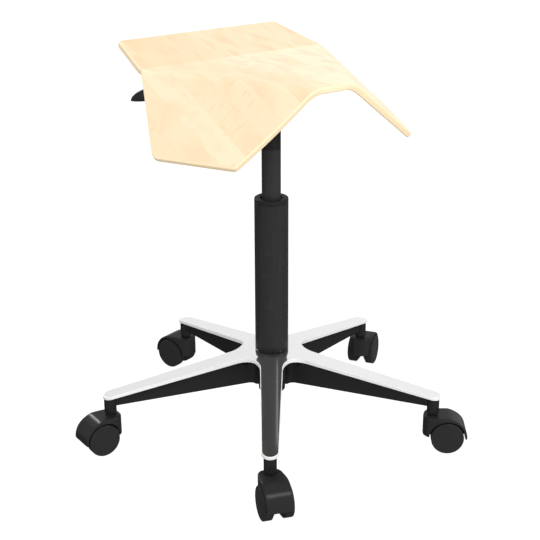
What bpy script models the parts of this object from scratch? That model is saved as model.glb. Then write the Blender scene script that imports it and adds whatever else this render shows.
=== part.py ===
"""Saddle stool: a folded plywood seat on a gas lift, with a five-armed star base on twin-wheel casters.

Metres, +Z up. The origin is on the floor under the column's axis, and the sitter faces -Y.
"""

import math

import bmesh
import bpy
from mathutils import Matrix, Vector

# Fits
FACE_GAP = 0.0003
RUN_GAP = 0.0003
CUT_PAST = 0.002

# Casters
CASTER_COUNT = 5
CASTER_TURN = math.radians(17.1)
CASTER_TRAIL = 0.022
WHEEL_RADIUS = 0.025
WHEEL_HALF_SPAN = 0.0206
WHEEL_RIM_ROUND = 0.002
WHEEL_TREAD_INSET = 0.0044
WHEEL_CHAMFER = 0.0065
WHEEL_BORE_WALL = 0.0031
AXLE_RADIUS = 0.003
WEB_HALF = 0.0045
WEB_DROP = 0.0075
HOOD_HALF = 0.019
HOOD_NECK_HALF = 0.017
HOOD_SHOULDER = 0.012
HOOD_RISE = 0.0313
HOOD_WALL = 0.0031
HOOD_WHEEL_GAP = 0.0025
HOOD_REAR = 0.013
HOOD_REAR_ROUND = 0.016
HOOD_TOP_ROUND = 0.005
HOOD_HEEL_ROUND = 0.006
LIP_TIP_THICK = 0.0028
LIP_DROP = 0.001
LIP_ANGLE = math.radians(10)
STEM_RADIUS = 0.0055
STEM_PIVOT_RADIUS = 0.004
STEM_PIVOT_LENGTH = 0.0095
STEM_GRIP = 0.0157
COLLAR_RADIUS = 0.0075
COLLAR_HEIGHT = 0.0027
COLLAR_LIFT = 0.0003

# Star base
BOSS_CIRCLE = 0.2584
BOSS_RADIUS = 0.0093
BOSS_LENGTH = 0.026
LEG_SLOPE = math.radians(10.45)
COVER_THICK = 0.003
COVER_FLAT_RADIUS = 0.033
COVER_ROOT_HALF = 0.0185
COVER_TIP_HALF = 0.0116
COVER_TIP_INSET = 0.002
COVER_NOTCH_ROUND = 0.029
RIB_HALF = 0.0045
RIB_HUB_INSET = 0.001
RIB_TIP_RISE = 0.0118
HUB_RADIUS = 0.030
HUB_HEIGHT = 0.0507
SCREW_RADIUS = 0.002
SCREW_HEAD_RADIUS = 0.004
SCREW_HEAD_HEIGHT = 0.0025
SCREW_BITE = 0.0014

# Column and gas lift
COLUMN_RADIUS = 0.025
COLUMN_WALL = 0.002
COLUMN_RISE = 0.2385
COLUMN_NECK_INSET = 0.005
COLUMN_NECK_RADIUS = 0.0203
COLUMN_FOOT_DROP = 0.013
COLUMN_FOOT_THICK = 0.004
COLUMN_TAPER = 0.001
CAP_HEIGHT = 0.0065
CAP_ROUND = 0.0015
BUSH_LENGTH = 0.073
CYLINDER_RADIUS = 0.014
CYLINDER_WALL = 0.002
CYLINDER_TAPER = 0.0008
CYLINDER_HEAD = 0.026
ROD_RADIUS = 0.005
ROD_COLLAR_RADIUS = 0.009
ROD_COLLAR_HEIGHT = 0.003
PISTON_LENGTH = 0.010
SEAL_LENGTH = 0.018
BUMPER_RADIUS = 0.011
BUMPER_HEIGHT = 0.008
BEARING_RADIUS = 0.017
WASHER_THICK = 0.002
CAGE_THICK = 0.004
CLIP_RADIUS = 0.009
CLIP_THICK = 0.0025
SEAT_DROP = 0.115
SEAT_RAISE = 0.080
DROP_MARGIN = 0.005

# Mechanism under the seat
SEAT_LIFT = 0.1885
PLATE_HALF = 0.048
PLATE_THICK = 0.004
BOLT_SPREAD = 0.037
BOLT_RADIUS = 0.003
BOLT_HEAD_RADIUS = 0.005
BOLT_HEAD_HEIGHT = 0.004
INSERT_WALL = 0.0022
INSERT_LENGTH = 0.0064
HOUSING_HALF_LENGTH = 0.032
HOUSING_HALF_WIDTH = 0.022
HOUSING_DEPTH = 0.030
HOUSING_WALL = 0.003
SOCKET_RADIUS = 0.018
SOCKET_LENGTH = 0.0345
CYLINDER_STAND = 0.011
VALVE_RADIUS = 0.003
VALVE_STAND = 0.006
VALVE_TAIL = 0.002
LEVER_TURN = math.radians(144)
LEVER_DROOP = math.radians(5.6)
LEVER_PIVOT = 0.024
LEVER_HEEL = 0.006
LEVER_LIFT = math.radians(6)
LEVER_REACH = 0.204
BAR_HALF_HEIGHT = 0.005
BAR_HALF_WIDTH = 0.0025
PIN_RADIUS = 0.0022
PADDLE_LENGTH = 0.070
PADDLE_BITE = 0.040
PADDLE_HALF_HEIGHT = 0.0105
PADDLE_HALF_WIDTH = 0.0105
PADDLE_SAG = 0.004
PADDLE_NECK = 0.7

# Seat shell, measured forward from the column's axis and outward from the middle plane
SEAT_THICK = 0.0095
SEAT_EDGE_ROUND = 0.0015
BACK_EDGE = -0.190
BACK_HALF = 0.141
BACK_RISE = math.radians(14.2)
WAIST = -0.095
WAIST_HALF = 0.162
REAR_CORNER = 0.024
REAR_CORNER_HALF = 0.215
FRONT_CORNER = 0.132
FRONT_CORNER_HALF = 0.153
FRONT_EDGE = 0.150
FOLD_FRONT_HALF = 0.030
WING_DROP = math.radians(42.4)
FRONT_FOLD_BLEND = 0.016
WAIST_FOLD_BLEND = 0.005
BACK_FOLD_BLEND = 0.005
BACK_CORNER_ROUND = 0.008
WAIST_ROUND = 0.030
REAR_CORNER_ROUND = 0.015
FRONT_CORNER_ROUND = 0.008

# Facets
ROUND_STEPS = 20
WIDE_STEPS = 32
SMALL_STEPS = 12
ARC_STEPS = 4
SEAT_COLUMNS = 26
SEAT_ROW_STEP = 0.026

# Heights that follow from the sizes above
AXLE_Z = WHEEL_RADIUS
HOOD_TOP = AXLE_Z + HOOD_RISE
COLLAR_BOTTOM = HOOD_TOP + COLLAR_LIFT
BOSS_BOTTOM = COLLAR_BOTTOM + COLLAR_HEIGHT + FACE_GAP
COVER_TIP_UNDER = BOSS_BOTTOM + BOSS_LENGTH + FACE_GAP
COVER_HUB_UNDER = COVER_TIP_UNDER + math.tan(LEG_SLOPE) * (BOSS_CIRCLE - COVER_FLAT_RADIUS)
COVER_HUB_TOP = COVER_HUB_UNDER + COVER_THICK
HUB_TOP = COVER_HUB_UNDER - FACE_GAP
HUB_BOTTOM = HUB_TOP - HUB_HEIGHT
TUBE_BOTTOM = HUB_BOTTOM - COLUMN_FOOT_DROP
TUBE_TOP = COVER_HUB_TOP + COLUMN_RISE
CAP_BOTTOM = TUBE_TOP + FACE_GAP
CAP_TOP = CAP_BOTTOM + CAP_HEIGHT
TUBE_BORE = COLUMN_RADIUS - COLUMN_WALL
FOOT_TOP = TUBE_BOTTOM + COLUMN_FOOT_THICK
LOWER_WASHER = FOOT_TOP + FACE_GAP
BALL_CAGE = LOWER_WASHER + WASHER_THICK + FACE_GAP
UPPER_WASHER = BALL_CAGE + CAGE_THICK + FACE_GAP
ROD_COLLAR = UPPER_WASHER + WASHER_THICK + FACE_GAP
BUMPER = ROD_COLLAR + ROD_COLLAR_HEIGHT + FACE_GAP
CYLINDER_BOTTOM = BUMPER + BUMPER_HEIGHT + SEAT_DROP + DROP_MARGIN
CYLINDER_BORE = CYLINDER_RADIUS - CYLINDER_WALL
SEAL_TOP = CYLINDER_BOTTOM + FACE_GAP + SEAL_LENGTH
PISTON_BOTTOM = SEAL_TOP + SEAT_RAISE + FACE_GAP
ROD_BOTTOM = TUBE_BOTTOM - FACE_GAP - CLIP_THICK - CUT_PAST
SEAT_UNDER = CAP_TOP + SEAT_LIFT
SEAT_TOP = SEAT_UNDER + SEAT_THICK
PLATE_TOP = SEAT_UNDER - FACE_GAP
PLATE_BOTTOM = PLATE_TOP - PLATE_THICK
HOUSING_TOP = PLATE_BOTTOM - FACE_GAP
HOUSING_BOTTOM = HOUSING_TOP - HOUSING_DEPTH
SOCKET_TOP = HOUSING_BOTTOM - FACE_GAP
SOCKET_BOTTOM = SOCKET_TOP - SOCKET_LENGTH
CYLINDER_TOP = HOUSING_BOTTOM + CYLINDER_STAND
VALVE_TOP = CYLINDER_TOP + VALVE_STAND
BAR_LOW_Z = VALVE_TOP + FACE_GAP + VALVE_RADIUS * math.tan(LEVER_DROOP)
BAR_AXIS_Z = BAR_LOW_Z + BAR_HALF_HEIGHT / math.cos(LEVER_DROOP)
PIVOT_Z = BAR_AXIS_Z - LEVER_PIVOT * math.tan(LEVER_DROOP)


def clear_scene():
    for item in list(bpy.data.objects):
        bpy.data.objects.remove(item, do_unlink=True)


def make_material(name, colour, roughness, metallic):
    made = bpy.data.materials.new(name)
    made.use_nodes = True
    shader = made.node_tree.nodes["Principled BSDF"]
    shader.inputs["Base Color"].default_value = (*colour, 1.0)
    shader.inputs["Roughness"].default_value = roughness
    shader.inputs["Metallic"].default_value = metallic
    return made


def make_empty(name, parent=None, location=(0, 0, 0), turn=0.0):
    """An axis or a carrier that pieces hang on, turned about Z."""
    empty = bpy.data.objects.new(name, None)
    empty.empty_display_size = 0.02
    empty.parent = parent
    empty.location = location
    empty.rotation_euler = (0, 0, turn)
    bpy.context.scene.collection.objects.link(empty)
    return empty


def make_object(name, bm, material=None, parent=None, location=(0, 0, 0), rotation=(0, 0, 0)):
    """The object of a finished bmesh, shaded smooth but for its sharp edges."""
    mesh = bpy.data.meshes.new(name)
    bm.to_mesh(mesh)
    bm.free()
    mesh.shade_smooth()
    mesh.set_sharp_from_angle(angle=math.radians(30))
    if material:
        mesh.materials.append(material)
    made = bpy.data.objects.new(name, mesh)
    made.parent = parent
    made.location = location
    made.rotation_euler = rotation
    bpy.context.scene.collection.objects.link(made)
    return made


def shared_copy(name, source, parent, location=(0, 0, 0), rotation=(0, 0, 0)):
    """Another object with the same mesh and the same modifiers."""
    made = bpy.data.objects.new(name, source.data)
    made.parent = parent
    made.location = location
    made.rotation_euler = rotation
    bpy.context.scene.collection.objects.link(made)
    return made


def make_cutter(item):
    item.hide_render = True
    item.display_type = "WIRE"
    return item


def boolean(item, tool, operation="DIFFERENCE"):
    cut = item.modifiers.new(tool.name, "BOOLEAN")
    cut.operation = operation
    cut.solver = "EXACT"
    cut.object = make_cutter(tool)


def boolean_group(item, name, tools, operation):
    """One Boolean with a hidden collection of pieces."""
    group = bpy.data.collections.new(name)
    bpy.context.scene.collection.children.link(group)
    for tool in tools:
        bpy.context.scene.collection.objects.unlink(make_cutter(tool))
        group.objects.link(tool)
    step = item.modifiers.new(name, "BOOLEAN")
    step.operation = operation
    step.solver = "EXACT"
    step.operand_type = "COLLECTION"
    step.collection = group


def apply_modifiers(item):
    """Bakes the modifiers into the mesh, so that copies can share it, and removes its cutters."""
    tools = [step.object for step in item.modifiers if step.type == "BOOLEAN"]
    graph = bpy.context.evaluated_depsgraph_get()
    baked = bpy.data.meshes.new_from_object(item.evaluated_get(graph))
    item.modifiers.clear()
    item.data = baked
    for tool in tools:
        bpy.data.objects.remove(tool, do_unlink=True)


def turned_bm(profile, steps):
    """A solid of revolution about Z from (radius, height) points. A profile that starts and ends on
    the axis makes a solid, and one that stays off it is closed into a ring."""
    bm = bmesh.new()
    points = [bm.verts.new((radius, 0, height)) for radius, height in profile]
    pairs = list(zip(points, points[1:]))
    if profile[0][0] > 0:
        pairs.append((points[-1], points[0]))
    edges = [bm.edges.new(pair) for pair in pairs]
    bmesh.ops.spin(
        bm, geom=points + edges, cent=(0, 0, 0), axis=(0, 0, 1), angle=2 * math.pi, steps=steps, use_merge=True
    )
    bmesh.ops.remove_doubles(bm, verts=bm.verts, dist=1e-6)
    on_axis = [point for point in bm.verts if point.co.xy.length < 1e-6]
    bmesh.ops.dissolve_verts(bm, verts=on_axis)
    bmesh.ops.recalc_face_normals(bm, faces=bm.faces)
    return bm


def prism_bm(outline, low, high, matrix=None):
    """An outline of (x, y) points carried along Z from low to high, then placed by a matrix."""
    bm = bmesh.new()
    face = bm.faces.new([bm.verts.new((x, y, low)) for x, y in outline])
    raised = bmesh.ops.extrude_face_region(bm, geom=[face])
    tops = [item for item in raised["geom"] if isinstance(item, bmesh.types.BMVert)]
    bmesh.ops.translate(bm, verts=tops, vec=(0, 0, high - low))
    if matrix:
        bmesh.ops.transform(bm, matrix=matrix, verts=bm.verts)
    bmesh.ops.recalc_face_normals(bm, faces=bm.faces)
    return bm


def ring(inner, outer, low, high):
    return [(outer, high), (outer, low), (inner, low), (inner, high)]


def rod(radius, low, high):
    return [(0, high), (radius, high), (radius, low), (0, low)]


def box_outline(low_x, high_x, low_y, high_y):
    return [(low_x, low_y), (high_x, low_y), (high_x, high_y), (low_x, high_y)]


def arc(centre, radius, start, end, steps):
    """Points on a circle from one angle to another, both ends included."""
    angles = [start + (end - start) * step / steps for step in range(steps + 1)]
    return [(centre[0] + radius * math.cos(a), centre[1] + radius * math.sin(a)) for a in angles]


def rounded_corner(before, corner, after, radius, steps):
    """The arc that rounds one corner of an outline, from the side before it to the side after it."""
    corner = Vector(corner)
    towards_before = (Vector(before) - corner).normalized()
    towards_after = (Vector(after) - corner).normalized()
    half = towards_before.angle(towards_after) / 2
    centre = corner + (towards_before + towards_after).normalized() * radius / math.sin(half)
    first = corner + towards_before * radius / math.tan(half) - centre
    last = corner + towards_after * radius / math.tan(half) - centre
    start = math.atan2(first.y, first.x)
    sweep = (math.atan2(last.y, last.x) - start + math.pi) % (2 * math.pi) - math.pi
    return arc(centre, radius, start, start + sweep, steps)


def side_profile_matrix():
    """Turns an outline drawn in (along, up), carried along Z, into the X-Z plane carried along Y."""
    return Matrix(((1, 0, 0, 0), (0, 0, -1, 0), (0, 1, 0, 0), (0, 0, 0, 1)))


# Star base


def leg_angle(number):
    """Leg 1 points straight back and the others follow anticlockwise."""
    return math.pi / 2 + 2 * math.pi * (number - 1) / CASTER_COUNT


def cover_under(along):
    """Height of the cover's underside at a distance along a leg: flat round the hub, then sloping."""
    return COVER_HUB_UNDER - math.tan(LEG_SLOPE) * max(along - COVER_FLAT_RADIUS, 0)


def along_nearest_leg(x, y):
    return max(
        x * math.cos(leg_angle(number)) + y * math.sin(leg_angle(number))
        for number in range(1, CASTER_COUNT + 1)
    )


def star_outline():
    """The cover's plan: tapering legs with round tips and a rounded notch between neighbours."""
    tip_centre = BOSS_CIRCLE - COVER_TIP_INSET
    half_step = math.pi / CASTER_COUNT
    taper = (COVER_ROOT_HALF - COVER_TIP_HALF) / tip_centre
    corner_along = COVER_ROOT_HALF / (math.tan(half_step) + taper)
    corner = (corner_along, corner_along * math.tan(half_step))
    tip = (tip_centre, COVER_TIP_HALF)
    mirrored_tip = (
        tip[0] * math.cos(2 * half_step) + tip[1] * math.sin(2 * half_step),
        tip[0] * math.sin(2 * half_step) - tip[1] * math.cos(2 * half_step),
    )
    leg = arc((tip_centre, 0), COVER_TIP_HALF, -math.pi / 2, math.pi / 2, 2 * ARC_STEPS)
    leg += rounded_corner(tip, corner, mirrored_tip, COVER_NOTCH_ROUND, ARC_STEPS)
    outline = []
    for number in range(1, CASTER_COUNT + 1):
        turn = Matrix.Rotation(leg_angle(number), 2)
        outline += [tuple(turn @ Vector(point)) for point in leg]
    return outline


def cover_bm(outline):
    """Rings of points from the column's hole to the outline, on the top and on the underside."""
    bm = bmesh.new()
    hole = COLUMN_RADIUS + FACE_GAP
    loops = []
    for height, inwards in ((COVER_THICK, False), (0, True)):
        rings = []
        for flat in (hole, COVER_FLAT_RADIUS, None):
            points = []
            for x, y in outline:
                scale = flat / math.hypot(x, y) if flat else 1
                level = cover_under(along_nearest_leg(x * scale, y * scale)) + height
                points.append(bm.verts.new((x * scale, y * scale, level)))
            rings.append(points)
        loops += rings[::-1] if inwards else rings
    for inner, outer in zip(loops, loops[1:] + loops[:1]):
        for i in range(len(outline)):
            j = (i + 1) % len(outline)
            bm.faces.new((inner[i], outer[i], outer[j], inner[j]))
    bmesh.ops.recalc_face_normals(bm, faces=bm.faces)
    return bm


def rib_bm():
    """One rib under a leg, along +X, from inside the hub's wall to the boss's axis."""
    start = (HUB_RADIUS + COLUMN_RADIUS) / 2 + FACE_GAP
    outline = [
        (start, HUB_BOTTOM + RIB_HUB_INSET),
        (BOSS_CIRCLE, BOSS_BOTTOM + RIB_TIP_RISE),
        (BOSS_CIRCLE, cover_under(BOSS_CIRCLE) - 2 * FACE_GAP),
        (COVER_FLAT_RADIUS, HUB_TOP - FACE_GAP),
        (start, HUB_TOP - FACE_GAP),
    ]
    return prism_bm(outline, -RIB_HALF, RIB_HALF, side_profile_matrix())


def boss_bm():
    """A caster boss about its own axis, its top cut to the cover's slope."""
    reach = cover_under(BOSS_CIRCLE) - FACE_GAP
    bm = turned_bm(rod(BOSS_RADIUS, BOSS_BOTTOM, reach), ROUND_STEPS)
    for point in bm.verts:
        if point.co.z > reach - FACE_GAP:
            point.co.z = cover_under(BOSS_CIRCLE + point.co.x) - FACE_GAP
    return bm


def boss_bore_profile():
    """The stem's blind bore from below, and the screw's hole through its roof."""
    bore = STEM_RADIUS + FACE_GAP
    hole = SCREW_RADIUS + FACE_GAP
    top = COVER_TIP_UNDER + CUT_PAST
    roof = screw_seat()
    bottom = BOSS_BOTTOM - CUT_PAST
    return [(0, top), (hole, top), (hole, roof), (bore, roof), (bore, bottom), (0, bottom)]


def screw_seat():
    """Height of the boss bore's roof, where a cover screw's head sits."""
    return BOSS_BOTTOM + STEM_GRIP + FACE_GAP + SCREW_HEAD_HEIGHT + FACE_GAP


def make_base(paint, aluminium, steel):
    root = make_empty("base_axis")
    taper_top = COLUMN_RADIUS + FACE_GAP
    hub_profile = [
        (taper_top, HUB_TOP),
        (HUB_RADIUS, HUB_TOP),
        (HUB_RADIUS, HUB_BOTTOM),
        (taper_top - COLUMN_TAPER, HUB_BOTTOM),
    ]
    frame = make_object("star_frame", turned_bm(hub_profile, WIDE_STEPS), paint, root)
    cover = make_object("star_cover", cover_bm(star_outline()), aluminium, root)
    screw_top = COVER_TIP_UNDER + SCREW_BITE
    screw_profile = [
        (0, screw_top),
        (SCREW_RADIUS, screw_top),
        (SCREW_RADIUS, screw_seat() - FACE_GAP),
        (SCREW_HEAD_RADIUS, screw_seat() - FACE_GAP),
        (SCREW_HEAD_RADIUS, screw_seat() - FACE_GAP - SCREW_HEAD_HEIGHT),
        (0, screw_seat() - FACE_GAP - SCREW_HEAD_HEIGHT),
    ]
    hole_profile = rod(SCREW_RADIUS + FACE_GAP, COVER_TIP_UNDER - COVER_THICK, screw_top + FACE_GAP)
    arms = []
    bores = []
    holes = []
    for number in range(1, CASTER_COUNT + 1):
        turn = leg_angle(number)
        place = (BOSS_CIRCLE * math.cos(turn), BOSS_CIRCLE * math.sin(turn), 0)
        arms.append(make_object(f"rib_{number}", rib_bm(), None, root, rotation=(0, 0, turn)))
        arms.append(make_object(f"boss_{number}", boss_bm(), None, root, place, (0, 0, turn)))
        bore_bm = turned_bm(boss_bore_profile(), SMALL_STEPS)
        bores.append(make_object(f"boss_bore_{number}", bore_bm, None, root, place))
        hole_bm = turned_bm(hole_profile, SMALL_STEPS)
        holes.append(make_object(f"cover_hole_{number}", hole_bm, None, root, place))
        make_object(f"cover_screw_{number}", turned_bm(screw_profile, SMALL_STEPS), steel, root, place)
    boolean_group(frame, "frame_arms", arms, "UNION")
    boolean_group(frame, "frame_bores", bores, "DIFFERENCE")
    boolean_group(cover, "cover_holes", holes, "DIFFERENCE")
    return root


# Casters


def hood_outline():
    """Side view of a caster hood about its stem's axis: rear wall, flat top, arc over the wheel, nose lip."""
    axle = (CASTER_TRAIL, AXLE_Z)
    outer = WHEEL_RADIUS + HOOD_WHEEL_GAP + HOOD_WALL
    lip_inner = CASTER_TRAIL + WHEEL_RADIUS + HOOD_WHEEL_GAP
    lip_bottom = AXLE_Z - LIP_DROP
    top_start = math.asin(min(HOOD_RISE / outer, 1))
    heel = (-HOOD_REAR + HOOD_HEEL_ROUND, AXLE_Z + HOOD_HEEL_ROUND)
    crown = (-HOOD_REAR + HOOD_TOP_ROUND, HOOD_TOP - HOOD_TOP_ROUND)
    outline = arc(heel, HOOD_HEEL_ROUND, math.pi, 1.5 * math.pi, 3)
    outline += arc(axle, WEB_DROP, math.pi, 2 * math.pi, 2 * ARC_STEPS)
    outline += [(lip_inner, lip_bottom), (lip_inner + LIP_TIP_THICK, lip_bottom)]
    outline += arc(axle, outer, LIP_ANGLE, top_start, 2 * ARC_STEPS)
    outline += arc(crown, HOOD_TOP_ROUND, math.pi / 2, math.pi, 3)
    return outline


def hood_plan():
    """Top view of a caster hood: full width over the wheels, a narrower neck and a rounded rear."""
    front = CASTER_TRAIL + WHEEL_RADIUS + HOOD_WHEEL_GAP + LIP_TIP_THICK + CUT_PAST
    centre_x = -HOOD_REAR + HOOD_REAR_ROUND
    centre_y = HOOD_NECK_HALF - HOOD_REAR_ROUND
    left = arc((centre_x, centre_y), HOOD_REAR_ROUND, math.pi / 2, math.pi, ARC_STEPS)
    right = arc((centre_x, -centre_y), HOOD_REAR_ROUND, math.pi, 1.5 * math.pi, ARC_STEPS)
    wide_left = [(front, HOOD_HALF), (HOOD_SHOULDER, HOOD_HALF)]
    wide_right = [(HOOD_SHOULDER, -HOOD_HALF), (front, -HOOD_HALF)]
    return wide_left + left + right + wide_right


def across_axle():
    """Turns a solid about Z so that its axis lies across the caster, along Y."""
    return (-math.pi / 2, 0, 0)


def make_hood(plastic):
    """The first hood, with its wheel pockets, stem bore and axle bore cut and baked."""
    wide = HOOD_HALF + CUT_PAST
    hood = make_object("caster_hood_1", prism_bm(hood_outline(), -wide, wide, side_profile_matrix()), plastic)
    plan = make_object("hood_plan", prism_bm(hood_plan(), 0, HOOD_TOP + CUT_PAST))
    boolean(hood, plan, "INTERSECT")
    pocket_radius = WHEEL_RADIUS + HOOD_WHEEL_GAP
    centre = (CASTER_TRAIL, 0, AXLE_Z)
    for side in (-1, 1):
        low, high = sorted((side * WEB_HALF, side * wide))
        pocket_bm = turned_bm(rod(pocket_radius, low, high), WIDE_STEPS)
        boolean(hood, make_object(f"wheel_pocket_{side}", pocket_bm, None, None, centre, across_axle()))
    axle_bm = turned_bm(rod(AXLE_RADIUS + FACE_GAP, -wide, wide), SMALL_STEPS)
    boolean(hood, make_object("axle_bore", axle_bm, None, None, centre, across_axle()))
    bore_low = stem_bottom() - FACE_GAP
    bore_bm = turned_bm(rod(STEM_PIVOT_RADIUS + RUN_GAP, bore_low, HOOD_TOP + CUT_PAST), SMALL_STEPS)
    boolean(hood, make_object("stem_bore", bore_bm))
    apply_modifiers(hood)
    return hood


def stem_bottom():
    return COLLAR_BOTTOM - STEM_PIVOT_LENGTH


def stem_profile():
    """Grip in the boss, collar under the boss, and the pivot that the hood turns on."""
    top = BOSS_BOTTOM + STEM_GRIP
    return [
        (0, top),
        (STEM_RADIUS, top),
        (STEM_RADIUS, BOSS_BOTTOM - FACE_GAP),
        (COLLAR_RADIUS, BOSS_BOTTOM - FACE_GAP),
        (COLLAR_RADIUS, COLLAR_BOTTOM),
        (STEM_PIVOT_RADIUS, COLLAR_BOTTOM),
        (STEM_PIVOT_RADIUS, stem_bottom()),
        (0, stem_bottom()),
    ]


def wheel_profile():
    """A wheel about Z: closed outer face up, rounded rim, flat tread, chamfered inner side and a blind bore."""
    inner = WEB_HALF + RUN_GAP
    rim = WHEEL_RIM_ROUND
    bore = AXLE_RADIUS + RUN_GAP
    profile = [(0, WHEEL_HALF_SPAN)]
    profile += arc((WHEEL_RADIUS - rim, WHEEL_HALF_SPAN - rim), rim, math.pi / 2, 0, 2)
    profile += [
        (WHEEL_RADIUS, inner + WHEEL_TREAD_INSET),
        (WHEEL_RADIUS - WHEEL_CHAMFER, inner),
        (bore, inner),
        (bore, WHEEL_HALF_SPAN - WHEEL_BORE_WALL),
        (0, WHEEL_HALF_SPAN - WHEEL_BORE_WALL),
    ]
    return profile


def make_casters(base, plastic, steel):
    hood = make_hood(plastic)
    stem_bm = turned_bm(stem_profile(), SMALL_STEPS)
    stem = make_object("caster_stem_1", stem_bm, steel, base)
    wheel_bm = turned_bm(wheel_profile(), ROUND_STEPS)
    wheel = make_object("caster_wheel_1_left", wheel_bm, plastic)
    axle_half = WHEEL_HALF_SPAN - WHEEL_BORE_WALL - RUN_GAP
    axle_bm = turned_bm(rod(AXLE_RADIUS, -axle_half, axle_half), SMALL_STEPS)
    axle = make_object("caster_axle_1", axle_bm, steel)
    centre = (CASTER_TRAIL, 0, AXLE_Z)
    for number in range(1, CASTER_COUNT + 1):
        turn = leg_angle(number)
        place = (BOSS_CIRCLE * math.cos(turn), BOSS_CIRCLE * math.sin(turn), 0)
        swivel = make_empty(f"caster_axis_{number}", base, place, turn + CASTER_TURN)
        if number == 1:
            hood.parent = swivel
            stem.location = place
            pieces = ((axle, across_axle()), (wheel, across_axle()))
            for piece, rotation in pieces:
                piece.parent = swivel
                piece.location = centre
                piece.rotation_euler = rotation
        else:
            shared_copy(f"caster_hood_{number}", hood, swivel)
            shared_copy(f"caster_stem_{number}", stem, base, place)
            shared_copy(f"caster_axle_{number}", axle, swivel, centre, across_axle())
            shared_copy(f"caster_wheel_{number}_left", wheel, swivel, centre, across_axle())
        other_side = (math.pi / 2, 0, 0)
        shared_copy(f"caster_wheel_{number}_right", wheel, swivel, centre, other_side)


# Column and gas lift


def make_column(base, paint, plastic, steel):
    neck_top = HUB_BOTTOM + COLUMN_NECK_INSET
    neck_bore = COLUMN_NECK_RADIUS - COLUMN_WALL
    tube_profile = [
        (TUBE_BORE, TUBE_TOP),
        (COLUMN_RADIUS, TUBE_TOP),
        (COLUMN_RADIUS, HUB_TOP),
        (COLUMN_RADIUS - COLUMN_TAPER, neck_top),
        (COLUMN_NECK_RADIUS, neck_top),
        (COLUMN_NECK_RADIUS, TUBE_BOTTOM),
        (ROD_RADIUS + RUN_GAP, TUBE_BOTTOM),
        (ROD_RADIUS + RUN_GAP, FOOT_TOP),
        (neck_bore, FOOT_TOP),
        (neck_bore, neck_top + COLUMN_WALL),
        (TUBE_BORE - COLUMN_TAPER, neck_top + COLUMN_WALL),
        (TUBE_BORE, HUB_TOP),
    ]
    make_object("column_tube", turned_bm(tube_profile, WIDE_STEPS), paint, base)
    slide_bore = CYLINDER_RADIUS + RUN_GAP
    cap_profile = [(slide_bore, CAP_TOP)]
    cap_profile += arc((COLUMN_RADIUS - CAP_ROUND, CAP_TOP - CAP_ROUND), CAP_ROUND, math.pi / 2, 0, 3)
    cap_profile += [(COLUMN_RADIUS, CAP_BOTTOM), (slide_bore, CAP_BOTTOM)]
    make_object("column_cap", turned_bm(cap_profile, WIDE_STEPS), plastic, base)
    bush_profile = ring(slide_bore, TUBE_BORE - FACE_GAP, TUBE_TOP - BUSH_LENGTH, TUBE_TOP)
    make_object("guide_bush", turned_bm(bush_profile, ROUND_STEPS), plastic, base)
    washer_bore = ROD_RADIUS + RUN_GAP
    washer = ring(washer_bore, BEARING_RADIUS, LOWER_WASHER, LOWER_WASHER + WASHER_THICK)
    make_object("bearing_washer_lower", turned_bm(washer, ROUND_STEPS), steel, base)
    cage = ring(washer_bore, BEARING_RADIUS, BALL_CAGE, BALL_CAGE + CAGE_THICK)
    make_object("bearing_ball_cage", turned_bm(cage, ROUND_STEPS), steel, base)


def make_rod(swivel, steel, plastic, rubber):
    collar_top = ROD_COLLAR + ROD_COLLAR_HEIGHT
    rod_profile = [
        (0, PISTON_BOTTOM - FACE_GAP),
        (ROD_RADIUS, PISTON_BOTTOM - FACE_GAP),
        (ROD_RADIUS, collar_top),
        (ROD_COLLAR_RADIUS, collar_top),
        (ROD_COLLAR_RADIUS, ROD_COLLAR),
        (ROD_RADIUS, ROD_COLLAR),
        (ROD_RADIUS, ROD_BOTTOM),
        (0, ROD_BOTTOM),
    ]
    make_object("piston_rod", turned_bm(rod_profile, ROUND_STEPS), steel, swivel)
    piston = rod(CYLINDER_BORE - RUN_GAP, PISTON_BOTTOM, PISTON_BOTTOM + PISTON_LENGTH)
    make_object("piston", turned_bm(piston, ROUND_STEPS), plastic, swivel)
    washer = ring(ROD_RADIUS + RUN_GAP, BEARING_RADIUS, UPPER_WASHER, UPPER_WASHER + WASHER_THICK)
    make_object("bearing_washer_upper", turned_bm(washer, ROUND_STEPS), steel, swivel)
    bumper = ring(ROD_RADIUS + FACE_GAP, BUMPER_RADIUS, BUMPER, BUMPER + BUMPER_HEIGHT)
    make_object("rod_bumper", turned_bm(bumper, ROUND_STEPS), rubber, swivel)
    clip_top = TUBE_BOTTOM - FACE_GAP
    clip = ring(ROD_RADIUS + FACE_GAP, CLIP_RADIUS, clip_top - CLIP_THICK, clip_top)
    make_object("rod_clip", turned_bm(clip, ROUND_STEPS), steel, swivel)


def make_cylinder(swivel, paint, plastic, steel):
    head_bottom = CYLINDER_TOP - CYLINDER_HEAD
    valve_bore = VALVE_RADIUS + RUN_GAP
    profile = [
        (valve_bore, CYLINDER_TOP),
        (CYLINDER_RADIUS - CYLINDER_TAPER, CYLINDER_TOP),
        (CYLINDER_RADIUS - CYLINDER_TAPER, SOCKET_TOP),
        (CYLINDER_RADIUS, SOCKET_BOTTOM),
        (CYLINDER_RADIUS, CYLINDER_BOTTOM),
        (CYLINDER_BORE, CYLINDER_BOTTOM),
        (CYLINDER_BORE, head_bottom),
        (valve_bore, head_bottom),
    ]
    make_object("gas_cylinder", turned_bm(profile, WIDE_STEPS), paint, swivel)
    seal = ring(ROD_RADIUS + RUN_GAP, CYLINDER_BORE - FACE_GAP, SEAL_TOP - SEAL_LENGTH, SEAL_TOP)
    make_object("cylinder_seal", turned_bm(seal, ROUND_STEPS), plastic, swivel)
    valve = rod(VALVE_RADIUS, head_bottom + VALVE_TAIL, VALVE_TOP)
    make_object("valve_pin", turned_bm(valve, SMALL_STEPS), steel, swivel)


# Mechanism under the seat


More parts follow.
